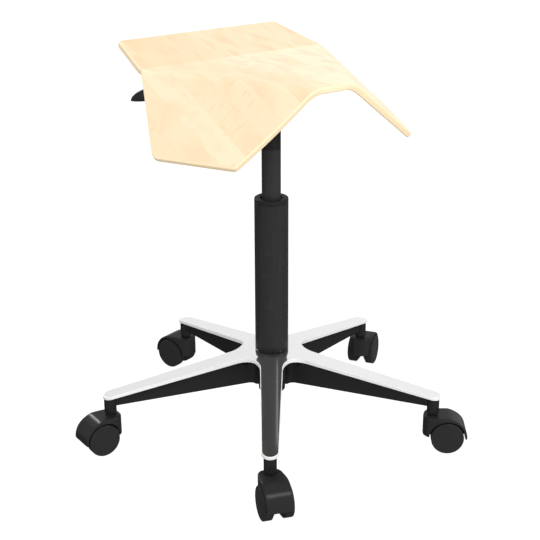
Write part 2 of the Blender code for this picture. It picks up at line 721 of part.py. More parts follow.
def bolt_places():
    return [(x * BOLT_SPREAD, y * BOLT_SPREAD) for x, y in ((1, 1), (-1, 1), (-1, -1), (1, -1))]


def make_mechanism(carrier, paint, steel):
    plate_outline = box_outline(-PLATE_HALF, PLATE_HALF, -PLATE_HALF, PLATE_HALF)
    plate = make_object("seat_plate", prism_bm(plate_outline, PLATE_BOTTOM, PLATE_TOP), paint, carrier)
    head_top = PLATE_BOTTOM - FACE_GAP
    insert_top = SEAT_UNDER + INSERT_LENGTH
    bolt_profile = [
        (0, insert_top),
        (BOLT_RADIUS, insert_top),
        (BOLT_RADIUS, head_top),
        (BOLT_HEAD_RADIUS, head_top),
        (BOLT_HEAD_RADIUS, head_top - BOLT_HEAD_HEIGHT),
        (0, head_top - BOLT_HEAD_HEIGHT),
    ]
    thread = BOLT_RADIUS + FACE_GAP
    insert_profile = ring(thread, thread + INSERT_WALL, SEAT_UNDER, insert_top)
    hole_profile = rod(thread, PLATE_BOTTOM - CUT_PAST, PLATE_TOP + CUT_PAST)
    for number, (x, y) in enumerate(bolt_places(), 1):
        place = (x, y, 0)
        hole = make_object(f"plate_hole_{number}", turned_bm(hole_profile, SMALL_STEPS), None, carrier, place)
        boolean(plate, hole)
        make_object(f"seat_bolt_{number}", turned_bm(bolt_profile, SMALL_STEPS), steel, carrier, place)
        make_object(f"insert_nut_{number}", turned_bm(insert_profile, SMALL_STEPS), steel, carrier, place)
    make_housing(carrier, paint)
    socket_profile = [
        (CYLINDER_RADIUS - CYLINDER_TAPER + FACE_GAP, SOCKET_TOP),
        (SOCKET_RADIUS, SOCKET_TOP),
        (SOCKET_RADIUS, SOCKET_BOTTOM),
        (CYLINDER_RADIUS + FACE_GAP, SOCKET_BOTTOM),
    ]
    make_object("taper_socket", turned_bm(socket_profile, WIDE_STEPS), paint, carrier)


def make_housing(carrier, paint):
    """An open-topped steel box: the cylinder comes up through its floor, the lever leaves by its end wall."""
    length = HOUSING_HALF_LENGTH
    width = HOUSING_HALF_WIDTH
    shell = box_outline(-length, length, -width, width)
    housing = make_object("mechanism_housing", prism_bm(shell, HOUSING_BOTTOM, HOUSING_TOP), paint, carrier)
    floor_top = HOUSING_BOTTOM + HOUSING_WALL
    past = HOUSING_TOP + CUT_PAST
    inside = box_outline(
        HOUSING_WALL - length, length - HOUSING_WALL, HOUSING_WALL - width, width - HOUSING_WALL
    )
    boolean(housing, make_object("housing_hollow", prism_bm(inside, floor_top, past), None, carrier))
    hole = rod(CYLINDER_RADIUS - CYLINDER_TAPER + FACE_GAP, HOUSING_BOTTOM - CUT_PAST, floor_top + CUT_PAST)
    boolean(housing, make_object("housing_hole", turned_bm(hole, ROUND_STEPS), None, carrier))
    slot_half = BAR_HALF_WIDTH + 2 * RUN_GAP
    slot = box_outline(length - HOUSING_WALL - CUT_PAST, length + CUT_PAST, -slot_half, slot_half)
    slot_low = bar_height(length) - BAR_HALF_HEIGHT / math.cos(LEVER_DROOP) - CUT_PAST
    boolean(housing, make_object("lever_slot", prism_bm(slot, slot_low, past), None, carrier))
    pin_bore = rod(PIN_RADIUS + FACE_GAP, -width - CUT_PAST, width + CUT_PAST)
    boolean(
        housing,
        make_object(
            "pin_bore", turned_bm(pin_bore, SMALL_STEPS), None, carrier, (LEVER_PIVOT, 0, PIVOT_Z), across_axle()
        ),
    )


# Release lever


def bar_height(along):
    """Height of the lever bar's middle line at a distance from the column's axis."""
    return BAR_AXIS_Z - along * math.tan(LEVER_DROOP)


def bar_outline(start, end, half_height):
    """Side view of the lever bar about its pivot."""
    rise = half_height / math.cos(LEVER_DROOP)
    upper = [(x - LEVER_PIVOT, bar_height(x) + rise - PIVOT_Z) for x in (end, start)]
    lower = [(x - LEVER_PIVOT, bar_height(x) - rise - PIVOT_Z) for x in (start, end)]
    return upper + lower


def paddle_bm():
    """A leaf-shaped grip along the bar: rings that swell from the neck and round off at the tip, flatter below."""
    bm = bmesh.new()
    start = LEVER_REACH - PADDLE_LENGTH
    rings = []
    for share in (0.0, 0.2, 0.45, 0.7, 0.85, 0.95):
        swell = PADDLE_NECK + (1 - PADDLE_NECK) * math.sin(math.pi * share)
        along = start + PADDLE_LENGTH * share
        middle = bar_height(along) - PADDLE_SAG * share**2 - PIVOT_Z
        points = []
        for step in range(SMALL_STEPS):
            angle = 2 * math.pi * step / SMALL_STEPS
            close = math.sqrt(1 - share ** (4 if math.sin(angle) > 0 else 8))
            across = PADDLE_HALF_WIDTH * swell * math.sqrt(1 - share**4) * math.cos(angle)
            above = PADDLE_HALF_HEIGHT * swell * close * math.sin(angle)
            points.append(bm.verts.new((along - LEVER_PIVOT, across, middle + above)))
        rings.append(points)
    for near, far in zip(rings, rings[1:]):
        for i in range(SMALL_STEPS):
            j = (i + 1) % SMALL_STEPS
            bm.faces.new((near[i], far[i], far[j], near[j]))
    bm.faces.new(rings[0])
    tip = bm.verts.new((LEVER_REACH - LEVER_PIVOT, 0, bar_height(LEVER_REACH) - PADDLE_SAG - PIVOT_Z))
    for i in range(SMALL_STEPS):
        bm.faces.new((rings[-1][i], tip, rings[-1][(i + 1) % SMALL_STEPS]))
    bmesh.ops.recalc_face_normals(bm, faces=bm.faces)
    return bm


def make_lever(carrier, steel, plastic):
    pivot = make_empty("lever_axis", carrier, (LEVER_PIVOT, 0, PIVOT_Z))
    pin = rod(PIN_RADIUS, -HOUSING_HALF_WIDTH, HOUSING_HALF_WIDTH)
    pin_place = (LEVER_PIVOT, 0, PIVOT_Z)
    make_object("lever_pin", turned_bm(pin, SMALL_STEPS), steel, carrier, pin_place, across_axle())
    bar_end = LEVER_REACH - PADDLE_LENGTH + PADDLE_BITE
    outline = bar_outline(-LEVER_HEEL, bar_end, BAR_HALF_HEIGHT)
    bar_bm = prism_bm(outline, -BAR_HALF_WIDTH, BAR_HALF_WIDTH, side_profile_matrix())
    bar = make_object("lever_bar", bar_bm, steel, pivot)
    eye = rod(PIN_RADIUS + RUN_GAP, -BAR_HALF_WIDTH - CUT_PAST, BAR_HALF_WIDTH + CUT_PAST)
    boolean(bar, make_object("bar_eye", turned_bm(eye, SMALL_STEPS), None, pivot, rotation=across_axle()))
    paddle = make_object("lever_paddle", paddle_bm(), plastic, pivot)
    pocket_half = BAR_HALF_WIDTH + FACE_GAP
    pocket_start = LEVER_REACH - PADDLE_LENGTH - CUT_PAST
    pocket = bar_outline(pocket_start, bar_end + FACE_GAP, BAR_HALF_HEIGHT + FACE_GAP)
    pocket_bm = prism_bm(pocket, -pocket_half, pocket_half, side_profile_matrix())
    boolean(paddle, make_object("paddle_pocket", pocket_bm, None, pivot))


# Seat shell


def side_outline():
    """One side of the sheet's plan, (outward, forward), from the back edge to the front edge."""
    back_middle = (0, BACK_EDGE)
    back = (BACK_HALF, BACK_EDGE)
    waist = (WAIST_HALF, WAIST)
    rear = (REAR_CORNER_HALF, REAR_CORNER)
    front = (FRONT_CORNER_HALF, FRONT_CORNER)
    front_middle = (0, FRONT_EDGE)
    corners = (
        rounded_corner(back_middle, back, waist, BACK_CORNER_ROUND, 3),
        rounded_corner(back, waist, rear, WAIST_ROUND, 2),
        rounded_corner(waist, rear, front, REAR_CORNER_ROUND, 3),
        rounded_corner(rear, front, front_middle, FRONT_CORNER_ROUND, 3),
    )
    outline = []
    for corner in corners:
        if outline:
            outline += straight_run(outline[-1], corner[0])
        outline += corner
    return outline


def straight_run(start, end):
    """Points between two corners, so that the sheet has rows to bend along."""
    start = Vector(start)
    end = Vector(end)
    count = max(1, round((end - start).length / SEAT_ROW_STEP))
    return [tuple(start.lerp(end, step / count)) for step in range(1, count)]


def soft_min(first, second, blend):
    """The lesser of two heights, with a parabolic fold of the given blend where they meet."""
    near = max(blend - abs(first - second), 0) / blend
    return min(first, second) - near * near * blend / 4


def seat_height(out, forward):
    """Height of the sheet's top: a flat centre, a back panel that rises and two wings that fold down."""
    rise = math.tan(BACK_RISE) * (WAIST - forward)
    centre = -soft_min(0, -rise, BACK_FOLD_BLEND)
    fold = Vector((FOLD_FRONT_HALF - WAIST_HALF, FRONT_EDGE - WAIST)).normalized()
    beyond = (abs(out) - WAIST_HALF) * fold.y - (forward - WAIST) * fold.x
    wing = -math.tan(WING_DROP) * beyond
    share = max(forward - WAIST, 0) / (FRONT_EDGE - WAIST)
    blend = WAIST_FOLD_BLEND + (FRONT_FOLD_BLEND - WAIST_FOLD_BLEND) * share
    return SEAT_TOP + soft_min(centre, wing, blend)


def seat_bm():
    """The top of the sheet as rows from side to side. The front rows bow to the front edge's middle."""
    bm = bmesh.new()
    outline = side_outline()
    last_out, last_forward = outline[-1]
    bow = FRONT_EDGE - last_forward
    rows = []
    for end_out, end_forward in outline:
        share = max(end_forward - WAIST, 0) / (last_forward - WAIST)
        row = []
        for step in range(SEAT_COLUMNS + 1):
            side = 2 * step / SEAT_COLUMNS - 1
            out = side * end_out
            forward = end_forward + bow * share**2 * (1 - side * side)
            row.append(bm.verts.new((out, -forward, seat_height(out, forward))))
        rows.append(row)
    for back, front in zip(rows, rows[1:]):
        for i in range(SEAT_COLUMNS):
            bm.faces.new((back[i], front[i], front[i + 1], back[i + 1]))
    return bm


def make_seat(swivel, carrier, veneer):
    seat = make_object("seat_shell", seat_bm(), veneer, swivel)
    sheet = seat.modifiers.new("sheet", "SOLIDIFY")
    sheet.thickness = SEAT_THICK
    sheet.offset = -1
    sheet.use_even_offset = True
    edges = seat.modifiers.new("edges", "BEVEL")
    edges.width = SEAT_EDGE_ROUND
    edges.segments = 1
    edges.limit_method = "ANGLE"
    edges.angle_limit = math.radians(60)
    pocket_radius = BOLT_RADIUS + FACE_GAP + INSERT_WALL + FACE_GAP
    pocket = rod(pocket_radius, SEAT_UNDER - CUT_PAST, SEAT_UNDER + INSERT_LENGTH + FACE_GAP)
    for number, (x, y) in enumerate(bolt_places(), 1):
        tool = make_object(f"insert_pocket_{number}", turned_bm(pocket, SMALL_STEPS), None, carrier, (x, y, 0))
        boolean(seat, tool)


def main():
    clear_scene()
    veneer = make_material("pale_veneer", (0.93, 0.78, 0.56), 0.45, 0.0)
    aluminium = make_material("polished_aluminium", (0.91, 0.91, 0.92), 0.12, 1.0)
    paint = make_material("black_coated_steel", (0.022, 0.022, 0.023), 0.42, 0.0)
    plastic = make_material("black_plastic", (0.028, 0.028, 0.029), 0.5, 0.0)
    steel = make_material("bright_steel", (0.55, 0.55, 0.56), 0.3, 1.0)
    rubber = make_material("black_rubber", (0.018, 0.018, 0.018), 0.8, 0.0)
    base = make_base(paint, aluminium, steel)
    make_casters(base, plastic, steel)
    make_column(base, paint, plastic, steel)
    swivel = make_empty("swivel_axis", base)
    make_rod(swivel, steel, plastic, rubber)
    make_cylinder(swivel, paint, plastic, steel)
    carrier = make_empty("mechanism_axis", swivel, turn=LEVER_TURN)
    make_mechanism(carrier, paint, steel)
    make_lever(carrier, steel, plastic)
    make_seat(swivel, carrier, veneer)


main()
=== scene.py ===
# %% [markdown]
# # A saddle stool, piece by piece
# The stool is a folded plywood seat on a gas lift, over a star base on five casters.
# Its solids and joints come in first as a fixed frame, all in metres and in one shared place.
# Each finer surface below takes the place of one solid and moves with that solid's body.
# Pieces that meet keep a small gap, and the solids that they replace stay in the scene, hidden.

# %% Load the frame
import math

import bmesh
import bpy
import numpy as np
from mathutils import Matrix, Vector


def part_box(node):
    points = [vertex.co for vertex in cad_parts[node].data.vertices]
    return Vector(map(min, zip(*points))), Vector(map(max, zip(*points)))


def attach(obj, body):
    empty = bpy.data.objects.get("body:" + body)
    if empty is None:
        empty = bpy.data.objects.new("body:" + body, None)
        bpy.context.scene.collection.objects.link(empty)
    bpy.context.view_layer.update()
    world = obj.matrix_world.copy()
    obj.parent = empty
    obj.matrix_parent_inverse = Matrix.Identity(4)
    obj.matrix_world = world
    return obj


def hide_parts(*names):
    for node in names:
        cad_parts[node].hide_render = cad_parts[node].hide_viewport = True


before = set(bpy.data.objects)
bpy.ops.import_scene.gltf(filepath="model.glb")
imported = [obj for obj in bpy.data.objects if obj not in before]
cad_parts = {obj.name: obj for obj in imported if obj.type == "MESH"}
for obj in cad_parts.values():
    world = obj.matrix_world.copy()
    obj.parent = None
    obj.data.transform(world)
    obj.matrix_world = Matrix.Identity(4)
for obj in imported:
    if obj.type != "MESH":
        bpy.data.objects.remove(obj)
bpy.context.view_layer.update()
GAP = 0.0003

# %% [markdown]
# ## Camera
# The view is from the front left and a little above, as one sees a stool standing a few steps away.
# A long lens keeps the seat and the casters in proportion, so the camera stands back and zooms in.

# %% Camera
def added(name, data):
    """A new object of the scene that holds a camera, a mesh or a light."""
    made = bpy.data.objects.new(name, data)
    bpy.context.scene.collection.objects.link(made)
    return made


lens = bpy.data.cameras.new("portrait_camera")
lens.lens = 82.843
lens.sensor_width = 36
lens.dof.use_dof = False
camera = added("portrait_camera", lens)
camera.location = (-1.02595, -1.44475, 0.94349)
pan = Matrix.Rotation(math.radians(-35.302), 3, "Z")
tilt = Matrix.Rotation(math.radians(68.929), 3, "X")
roll = Matrix.Rotation(math.radians(-0.22), 3, "Z")
camera.rotation_euler = (pan @ tilt @ roll).to_euler()
bpy.context.scene.camera = camera
print("camera at", tuple(round(x, 3) for x in camera.location))

# %% [markdown]
# ## From a grid of points to a mesh
# Every surface here is a grid: rows and columns of points that a formula gives all at once.
# Quads between neighbouring points make the skin, and a second array can lay it flat for a pattern.

# %% Sheets of points
def join(*parts):
    """Arrays put end to end along their first axis."""
    return np.concatenate(parts)


def sheet(points, finish=0, flat=None):
    """A grid of points (rows, columns, 3), the number of its finish, and its flat map in metres."""
    return {"points": points, "finish": finish, "flat": points[..., :2] if flat is None else flat}


def grid_quads(rows, columns):
    """The four corners of each cell of a grid, numbered row by row."""
    row, column = np.meshgrid(np.arange(rows - 1), np.arange(columns - 1), indexing="ij")
    corner = row * columns + column
    return np.stack([corner, corner + 1, corner + columns + 1, corner + columns], -1).reshape(-1, 4)


def placed(item, turn=0.0, place=(0, 0, 0)):
    """The same sheet turned about Z and then moved."""
    cos, sin = math.cos(turn), math.sin(turn)
    spin = np.array(((cos, sin, 0), (-sin, cos, 0), (0, 0, 1)))
    return {**item, "points": item["points"] @ spin + np.asarray(place)}


# %% [markdown]
# ## Welding and hanging a piece
# A grid that runs round a shape meets itself in a seam, and one that ends in a point has a pole.
# Merging the points that coincide closes both, and then the faces can be turned outwards.
# The piece stays at the origin with its place in its points, as the solids have it.

# %% Pieces
def welded(mesh):
    """Merges coincident points and turns the faces of each closed skin outwards."""
    work = bmesh.new()
    work.from_mesh(mesh)
    bmesh.ops.remove_doubles(work, verts=work.verts, dist=2e-6)
    bmesh.ops.recalc_face_normals(work, faces=work.faces)
    work.to_mesh(mesh)
    work.free()


def make_piece(name, sheets, finishes, body, nodes, crease=40):
    """One object from several sheets, with sharp edges only above the crease angle in degrees."""
    sizes = [item["points"].shape[:2] for item in sheets]
    starts = np.cumsum([0] + [rows * columns for rows, columns in sizes])
    points = join(*[item["points"].reshape(-1, 3) for item in sheets])
    flat = join(*[item["flat"].reshape(-1, 2) for item in sheets])
    cells = [grid_quads(*size) + start for size, start in zip(sizes, starts)]
    quads = join(*cells)
    numbers = join(*[np.full(len(c), item["finish"]) for c, item in zip(cells, sheets)])
    mesh = bpy.data.meshes.new(name)
    mesh.from_pydata(points.tolist(), [], quads.tolist())
    mesh.uv_layers.new(name="flat").uv.foreach_set("vector", flat[quads.ravel()].ravel())
    mesh.polygons.foreach_set("material_index", numbers)
    welded(mesh)
    mesh.shade_smooth()
    mesh.set_sharp_from_angle(angle=math.radians(crease))
    for finish in finishes:
        mesh.materials.append(finish)
    made = added(name, mesh)
    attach(made, body)
    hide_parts(*nodes)
    print(name, "on", body, "for", ", ".join(nodes), "faces:", len(mesh.polygons))


# %% [markdown]
# ## Outlines and turned shapes
# Posts, caps, wheels and stems are turned parts, made on a lathe or in a round mould.
# Their profile is a short line of corners, and no real corner is dead sharp, so each gets an arc.
# Carrying the softened profile once round an axis gives the part.

# %% Softened outlines and turning
def unit(vectors):
    """Each vector divided by its length."""
    return vectors / np.linalg.norm(vectors, axis=-1, keepdims=True)


def softened(corners, radii, steps=6):
    """An open outline whose inner corners become arcs of the given radii that touch both sides."""
    corners = np.asarray(corners, float)
    inner = corners[1:-1]
    radii = np.broadcast_to(np.asarray(radii, float), len(inner))[:, None]
    before = unit(corners[:-2] - inner)
    after = unit(corners[2:] - inner)
    half = np.arccos(np.clip((before * after).sum(-1, keepdims=True), -1, 1)) / 2
    centre = inner + unit(before + after) * radii / np.sin(half)
    first = inner + before * radii / np.tan(half) - centre
    last = inner + after * radii / np.tan(half) - centre
    start = np.arctan2(first[:, 1], first[:, 0])
    sweep = (np.arctan2(last[:, 1], last[:, 0]) - start + np.pi) % (2 * np.pi) - np.pi
    angle = start[:, None] + sweep[:, None] * np.linspace(0, 1, steps + 1)
    arcs = centre[:, None] + radii[:, None] * np.stack([np.cos(angle), np.sin(angle)], -1)
    return join(corners[:1], arcs.reshape(-1, 2), corners[-1:])


def run_length(points):
    """Distance along a line of points, from its first point to each."""
    return join([0], np.cumsum(np.linalg.norm(np.diff(points, axis=0), axis=1)))


def filled(points, step):
    """The same line with its points kept and its straight runs filled to about the step."""
    run = run_length(points)
    places = np.union1d(run, np.linspace(0, run[-1], int(run[-1] / step) + 2))
    return np.stack([np.interp(places, run, points[:, i]) for i in range(points.shape[1])], -1)


def directions(loop):
    """Along a closed line, the step from the point before to the point after each point."""
    ahead = np.roll(loop[:-1], -1, 0) - np.roll(loop[:-1], 1, 0)
    return join(ahead, ahead[:1])


def right_of(ahead):
    """In plan, the unit vector to the right of each direction."""
    return unit(np.stack([ahead[:, 1], -ahead[:, 0]], -1))


def turned(profile, steps=96, finish=0):
    """A profile of (radius, height) carried once round Z: x = r cos a, y = r sin a, z = height."""
    profile = np.asarray(profile, float)
    angle = np.linspace(0, 2 * np.pi, steps + 1)
    radius, height = profile[:, :1], profile[:, 1:]
    points = np.stack([radius * np.cos(angle), radius * np.sin(angle), height + 0 * angle], -1)
    flat = np.stack([radius.max() * angle + 0 * radius, run_length(profile)[:, None] + 0 * angle], -1)
    return sheet(points, finish, flat)


# %% [markdown]
# ## Shader sums in plain Python
# A finish is a small graph of nodes, and writing it link by link hides what it does.
# Here one class wraps a socket, so that a sum of two wires adds the Math node that does it.
# Colours, places and noise have methods of their own, and any other node can be added by its name.

# %% Wires
def plug(socket, value):
    """Gives a socket a number, a colour or the end of a wire."""
    if isinstance(value, Wire):
        value.tree.links.new(value.socket, socket)
    else:
        socket.default_value = value


class Wire:
    """A value on its way through one graph of nodes. Arithmetic on it adds Math nodes."""

    def __init__(self, tree, socket=None):
        self.tree = tree
        self.socket = socket

    def node(self, kind, settings=None, sockets=None, out=0):
        """Any node: its settings are set first, and then its sockets are filled."""
        made = self.tree.nodes.new("ShaderNode" + kind)
        for name, value in (settings or {}).items():
            setattr(made, name, value)
        for name, value in (sockets or {}).items():
            plug(made.inputs[name], value)
        return Wire(self.tree, made.outputs[out])

    def maths(self, operation, *values):
        """A Math node that works on the values."""
        return self.node("Math", {"operation": operation}, dict(enumerate(values)))

    def __add__(self, other):
        return self.maths("ADD", self, other)

    __radd__ = __add__

    def __sub__(self, other):
        return self.maths("SUBTRACT", self, other)

    def __rsub__(self, other):
        return self.maths("SUBTRACT", other, self)

    def __mul__(self, other):
        return self.maths("MULTIPLY", self, other)

    __rmul__ = __mul__

    def __truediv__(self, other):
        return self.maths("DIVIDE", self, other)

    def __rtruediv__(self, other):
        return self.maths("DIVIDE", other, self)

    def floor(self):
        """The whole number below this value."""
        return self.maths("FLOOR", self)

    def fraction(self):
        """What this value has above a whole number."""
        return self.maths("FRACT", self)

    def greater(self, other):
        """The larger of this value and another."""
        return self.maths("MAXIMUM", self, other)

    def step(self, low, high):
        """0 below low, 1 above high, and a smooth rise between them."""
        sockets = {"Value": self, "From Min": low, "From Max": high}
        return self.node("MapRange", {"interpolation_type": "SMOOTHSTEP"}, sockets)

    def tint(self, low, high):
        """The first colour where this is 0 and the second where it is 1."""
        return self.node("Mix", {"data_type": "RGBA"}, {0: self, 6: low, 7: high}, 2)

    def part(self, axis):
        """One coordinate of this place."""
        return self.node("SeparateXYZ", None, {"Vector": self}, axis)

    def vector(self, operation, other, out=0):
        """A Vector Math node on this place and another."""
        return self.node("VectorMath", {"operation": operation}, {0: self, 1: other}, out)

    def stretched(self, scale):
        """This place multiplied by one scale, or by a scale along each axis."""
        return self.vector("MULTIPLY", np.broadcast_to(np.asarray(scale, float), 3).tolist())

    def cloud(self, scale, detail=2.0, rough=0.5, bend=0.0):
        """Soft noise between 0 and 1 at this place after stretching."""
        sockets = {"Detail": detail, "Roughness": rough, "Distortion": bend}
        return self.node("TexNoise", None, {"Vector": self.stretched(scale), "Scale": 1.0, **sockets})

    def bump(self, depth, strength):
        """A normal that leans with the slope of this height."""
        return self.node("Bump", None, {"Height": self, "Distance": depth, "Strength": strength})


# %% Starting a finish
def new_finish(name, unrolled=False, **fixed):
    """A material, the place on the piece or on its flat map, and a setter for its shader's sockets."""
    made = bpy.data.materials.new(name)
    made.use_nodes = True
    tree = made.node_tree
    shader = tree.nodes["Principled BSDF"]
    source = ("UVMap", {"uv_map": "flat"}) if unrolled else ("TexCoord", None, None, "Object")
    place = Wire(tree).node(*source)

    def feed(**sockets):
        """Fills sockets by name, with _ for a blank."""
        for name, value in sockets.items():
            plug(shader.inputs[name.replace("_", " ")], value)

    feed(**fixed)
    return made, place, feed


# %% [markdown]
# ## Veneer
# The seat is pressed from thin layers of pale wood, and its face shows long staves side by side.
# Each stave has its own tone, ends in a butt joint, and carries fine fibres and a few warm flecks.
# The back panel is warmer, partly its own tone and partly painted shade, one strip beside the middle is
# warmer too, and a painted light ramp pales the wood towards +X.
# A picture would blur up close, so the pattern is sums of noise laid over the plan of the seat.

# %% Face veneer
STAVE, BOARD, JOINT = 0.0275, 0.31, 0.00035
BACK_FOLD, FOLD_FADE = 0.092, 0.0006
SLIDE_START, TONE_START = 1.3, 7035.0
FLECK_SPOT, FLECK_FADE = (-0.113, -0.0385, 0.0), (0.022, 0.055)
LIGHT_RAMP_FROM, LIGHT_RAMP_RATE = -0.06, 4.0
STRIP_LEFT, STRIP_RIGHT = (-0.140, -0.110), (-0.050, -0.010)
HONEY, CREAM = (0.795, 0.605, 0.385, 1), (0.855, 0.730, 0.540, 1)
WARM_TONE, FIBRE_TONE = (0.790, 0.545, 0.345, 1), (0.720, 0.520, 0.310, 1)
FLECK_TONE, SPECK_TONE = (0.740, 0.410, 0.240, 1), (0.600, 0.360, 0.190, 1)
JOINT_TONE = (0.700, 0.500, 0.300, 1)


def veneer_face():
    """Tones by stave and board with a painted light ramp, then warm clouds with painted shade on the back
    panel, fibres, flecks, specks and joints over them.
    """
    finish, place, feed = new_finish("veneer_face", Specular_IOR_Level=0.40, Coat_Roughness=0.5)
    x, y = place.part("X"), place.part("Y")

    def chance(first, second):
        """A random number from 0 to 1 that is fixed for each pair of numbers."""
        pair = place.node("CombineXYZ", None, {"X": first, "Y": second})
        return place.node("TexWhiteNoise", {"noise_dimensions": "2D"}, {"Vector": pair})

    across = x / STAVE
    stave = across.floor()
    along = y / BOARD + chance(stave, SLIDE_START)
    tone = chance(stave + TONE_START, along.floor())
    drift = place.node("CombineXYZ", None, {"X": tone * 4.0, "Y": tone * 9.0})
    moved = place.vector("ADD", drift)
    fibre = moved.cloud((900, 16, 0), 3.0, 0.6)
    figure = moved.cloud((34, 3.2, 0), 2.0, 0.5, 1.2)
    warm = moved.cloud((34, 15, 0), 3.0, 0.55, 0.5)
    fleck = moved.cloud((60, 300, 0), 1.0, 0.4, 0.3).step(0.57, 0.74)
    away = place.stretched((1, 0.7, 0)).vector("DISTANCE", FLECK_SPOT, "Value")
    scattered = place.cloud((15, 13, 0), 1.0).step(0.54, 0.68) * 0.5
    fleck = fleck * (1.0 - away.step(*FLECK_FADE)).greater(scattered)
    speck_at = {"Vector": place.stretched((31, 31, 0)), "Scale": 1.0}
    speck = 1.0 - place.node("TexVoronoi", None, speck_at).step(0.02, 0.055)
    side, end = across.fraction(), along.fraction()
    edge = 1.0 - (side * (1.0 - side) * STAVE).step(0.0, JOINT)
    edge = edge.greater(1.0 - (end * (1.0 - end) * BOARD).step(0.0, JOINT))
    # Painted light: the wood pales towards +X, as if lit more from that side.
    painted_light_ramp = (x - LIGHT_RAMP_FROM).greater(0.0) * LIGHT_RAMP_RATE
    strip = x.step(*STRIP_LEFT) - x.step(*STRIP_RIGHT)
    share = tone * 0.60 + figure * 0.20 + painted_light_ramp + 0.08
    # The back panel's warmth is partly the veneer's own tone and partly painted shade.
    rear = y.step(BACK_FOLD - FOLD_FADE, BACK_FOLD + FOLD_FADE)
    warmth = warm.step(0.45, 0.68) * 0.50 + rear * 0.52 + strip * 0.14
    warmed = warmth.tint(share.tint(HONEY, CREAM), WARM_TONE)
    fibred = ((fibre - 0.35) * 0.30).tint(warmed, FIBRE_TONE)
    flecked = (fleck * 0.42).tint(fibred, FLECK_TONE)
    dotted = (speck * 0.45).tint(flecked, SPECK_TONE)
    jointed = (edge * 0.12).tint(dotted, JOINT_TONE)
    relief = (fibre * 0.6 - edge * 0.5).bump(0.00006, 0.4)
    feed(Base_Color=jointed, Roughness=0.50 + fibre * 0.14, Coat_Weight=0.06, Normal=relief)
    return finish


face_veneer = veneer_face()
print("face veneer: staves of", STAVE * 1000, "mm, boards of", BOARD * 1000, "mm")

# %% [markdown]
# On the cut edge the layers show as thin stripes, one with its fibres along the edge and the next across.
# The rim's own flat map runs along the edge and down through the layers, so a stripe is a step in depth.

# %% Edge veneer
SEAT_THICK, PLIES = 0.0095, 7
LONG_PLY, CROSS_PLY = (0.865, 0.700, 0.470, 1), (0.820, 0.645, 0.420, 1)
PORE_TONE, GLUE_TONE = (0.680, 0.490, 0.290, 1), (0.560, 0.390, 0.220, 1)


def veneer_edge():
    """Layers by depth, in turn with streaks and with pores, and a dark line of glue between."""
    finish, flat, feed = new_finish("veneer_edge", True, Specular_IOR_Level=0.25)
    wander = flat.cloud((38, 120, 0)) - 0.5
    layer = flat.part("Y") * (PLIES / SEAT_THICK) + wander * 0.16
    crossed = (layer * 0.5).fraction().step(0.44, 0.56)
    glue = (layer.fraction() * (1.0 - layer.fraction())).step(0.0, 0.07)
    pore = flat.cloud((2600, 1500, 0), 2.0, 0.6)
    streak = flat.cloud((60, 2400, 0), 2.0, 0.6)
    tone = crossed * pore + (1.0 - crossed) * streak
    grained = (tone * 0.16).tint(crossed.tint(LONG_PLY, CROSS_PLY), PORE_TONE)
    lined = ((1.0 - glue) * 0.16).tint(grained, GLUE_TONE)
    feed(Base_Color=lined, Roughness=0.44 + tone * 0.18, Normal=(tone + glue * 0.4).bump(0.00004, 0.12))
    return finish


edge_veneer = veneer_edge()
print("edge veneer:", PLIES, "layers in", SEAT_THICK * 1000, "mm")

# %% [markdown]
# ## Polished cover metal
# The star's cover is an aluminium casting that was ground and buffed until it mirrors the room.
# Buffing leaves a faint haze and hairlines, which show as small changes in how sharp the mirror is.
# Its narrow rim was only brushed, and shows as a satin band round the mirror.

# %% Polished aluminium
def polished_aluminium():
    """A mirror that haze and hairlines make a little less sharp."""
    finish, place, feed = new_finish("polished_aluminium", Metallic=0.975)
    haze = place.cloud(16, 3.0, 0.6)
    hairline = place.cloud((70, 900, 300), 2.0, 0.6, 0.4).step(0.55, 0.8)
    pale = haze.tint((0.890, 0.890, 0.895, 1), (0.935, 0.935, 0.935, 1))
    feed(Base_Color=pale, Roughness=0.04 + haze * 0.02 + hairline * 0.006)
    return finish


def satin_rim():
    """A pale metal that haze and brushing make dull."""
    finish, place, feed = new_finish("satin_rim", Metallic=0.15, Specular_IOR_Level=0.3)
    haze = place.cloud(90, 3.0, 0.6)
    brushed = place.cloud((500, 500, 1800), 2.0, 0.6)
    pale = haze.tint((0.712, 0.712, 0.716, 1), (0.752, 0.752, 0.752, 1))
    feed(Base_Color=pale, Roughness=0.34 + haze * 0.06 + brushed * 0.06)
    return finish


cover_metal = polished_aluminium()
rim_metal = satin_rim()
print("cover metal: mirror with haze and hairlines, and a satin rim")

# %% [markdown]
# ## Black coats
# Column, gas cylinder and frame are steel under a baked black coat, the column glossier than the frame.
# A baked coat flows into a faint orange peel, and rubbing along a post leaves fine upright marks.
# Both are gentle bumps and small shifts of gloss over a colour that is almost black.
# The column's colour carries painted shade at its foot, where it meets the cover, and a painted shadow of
# the seat darkens the cylinder's head.

# %% Baked coats
PAINTED_SHADE_BLACK = (0.004, 0.004, 0.004, 1)
FOOT_FADE, SHADOW_FADE = 0.014, 0.001
SEAT_SHADOW_LINE = 0.4530
COLUMN_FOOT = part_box("star_cover")[1].z


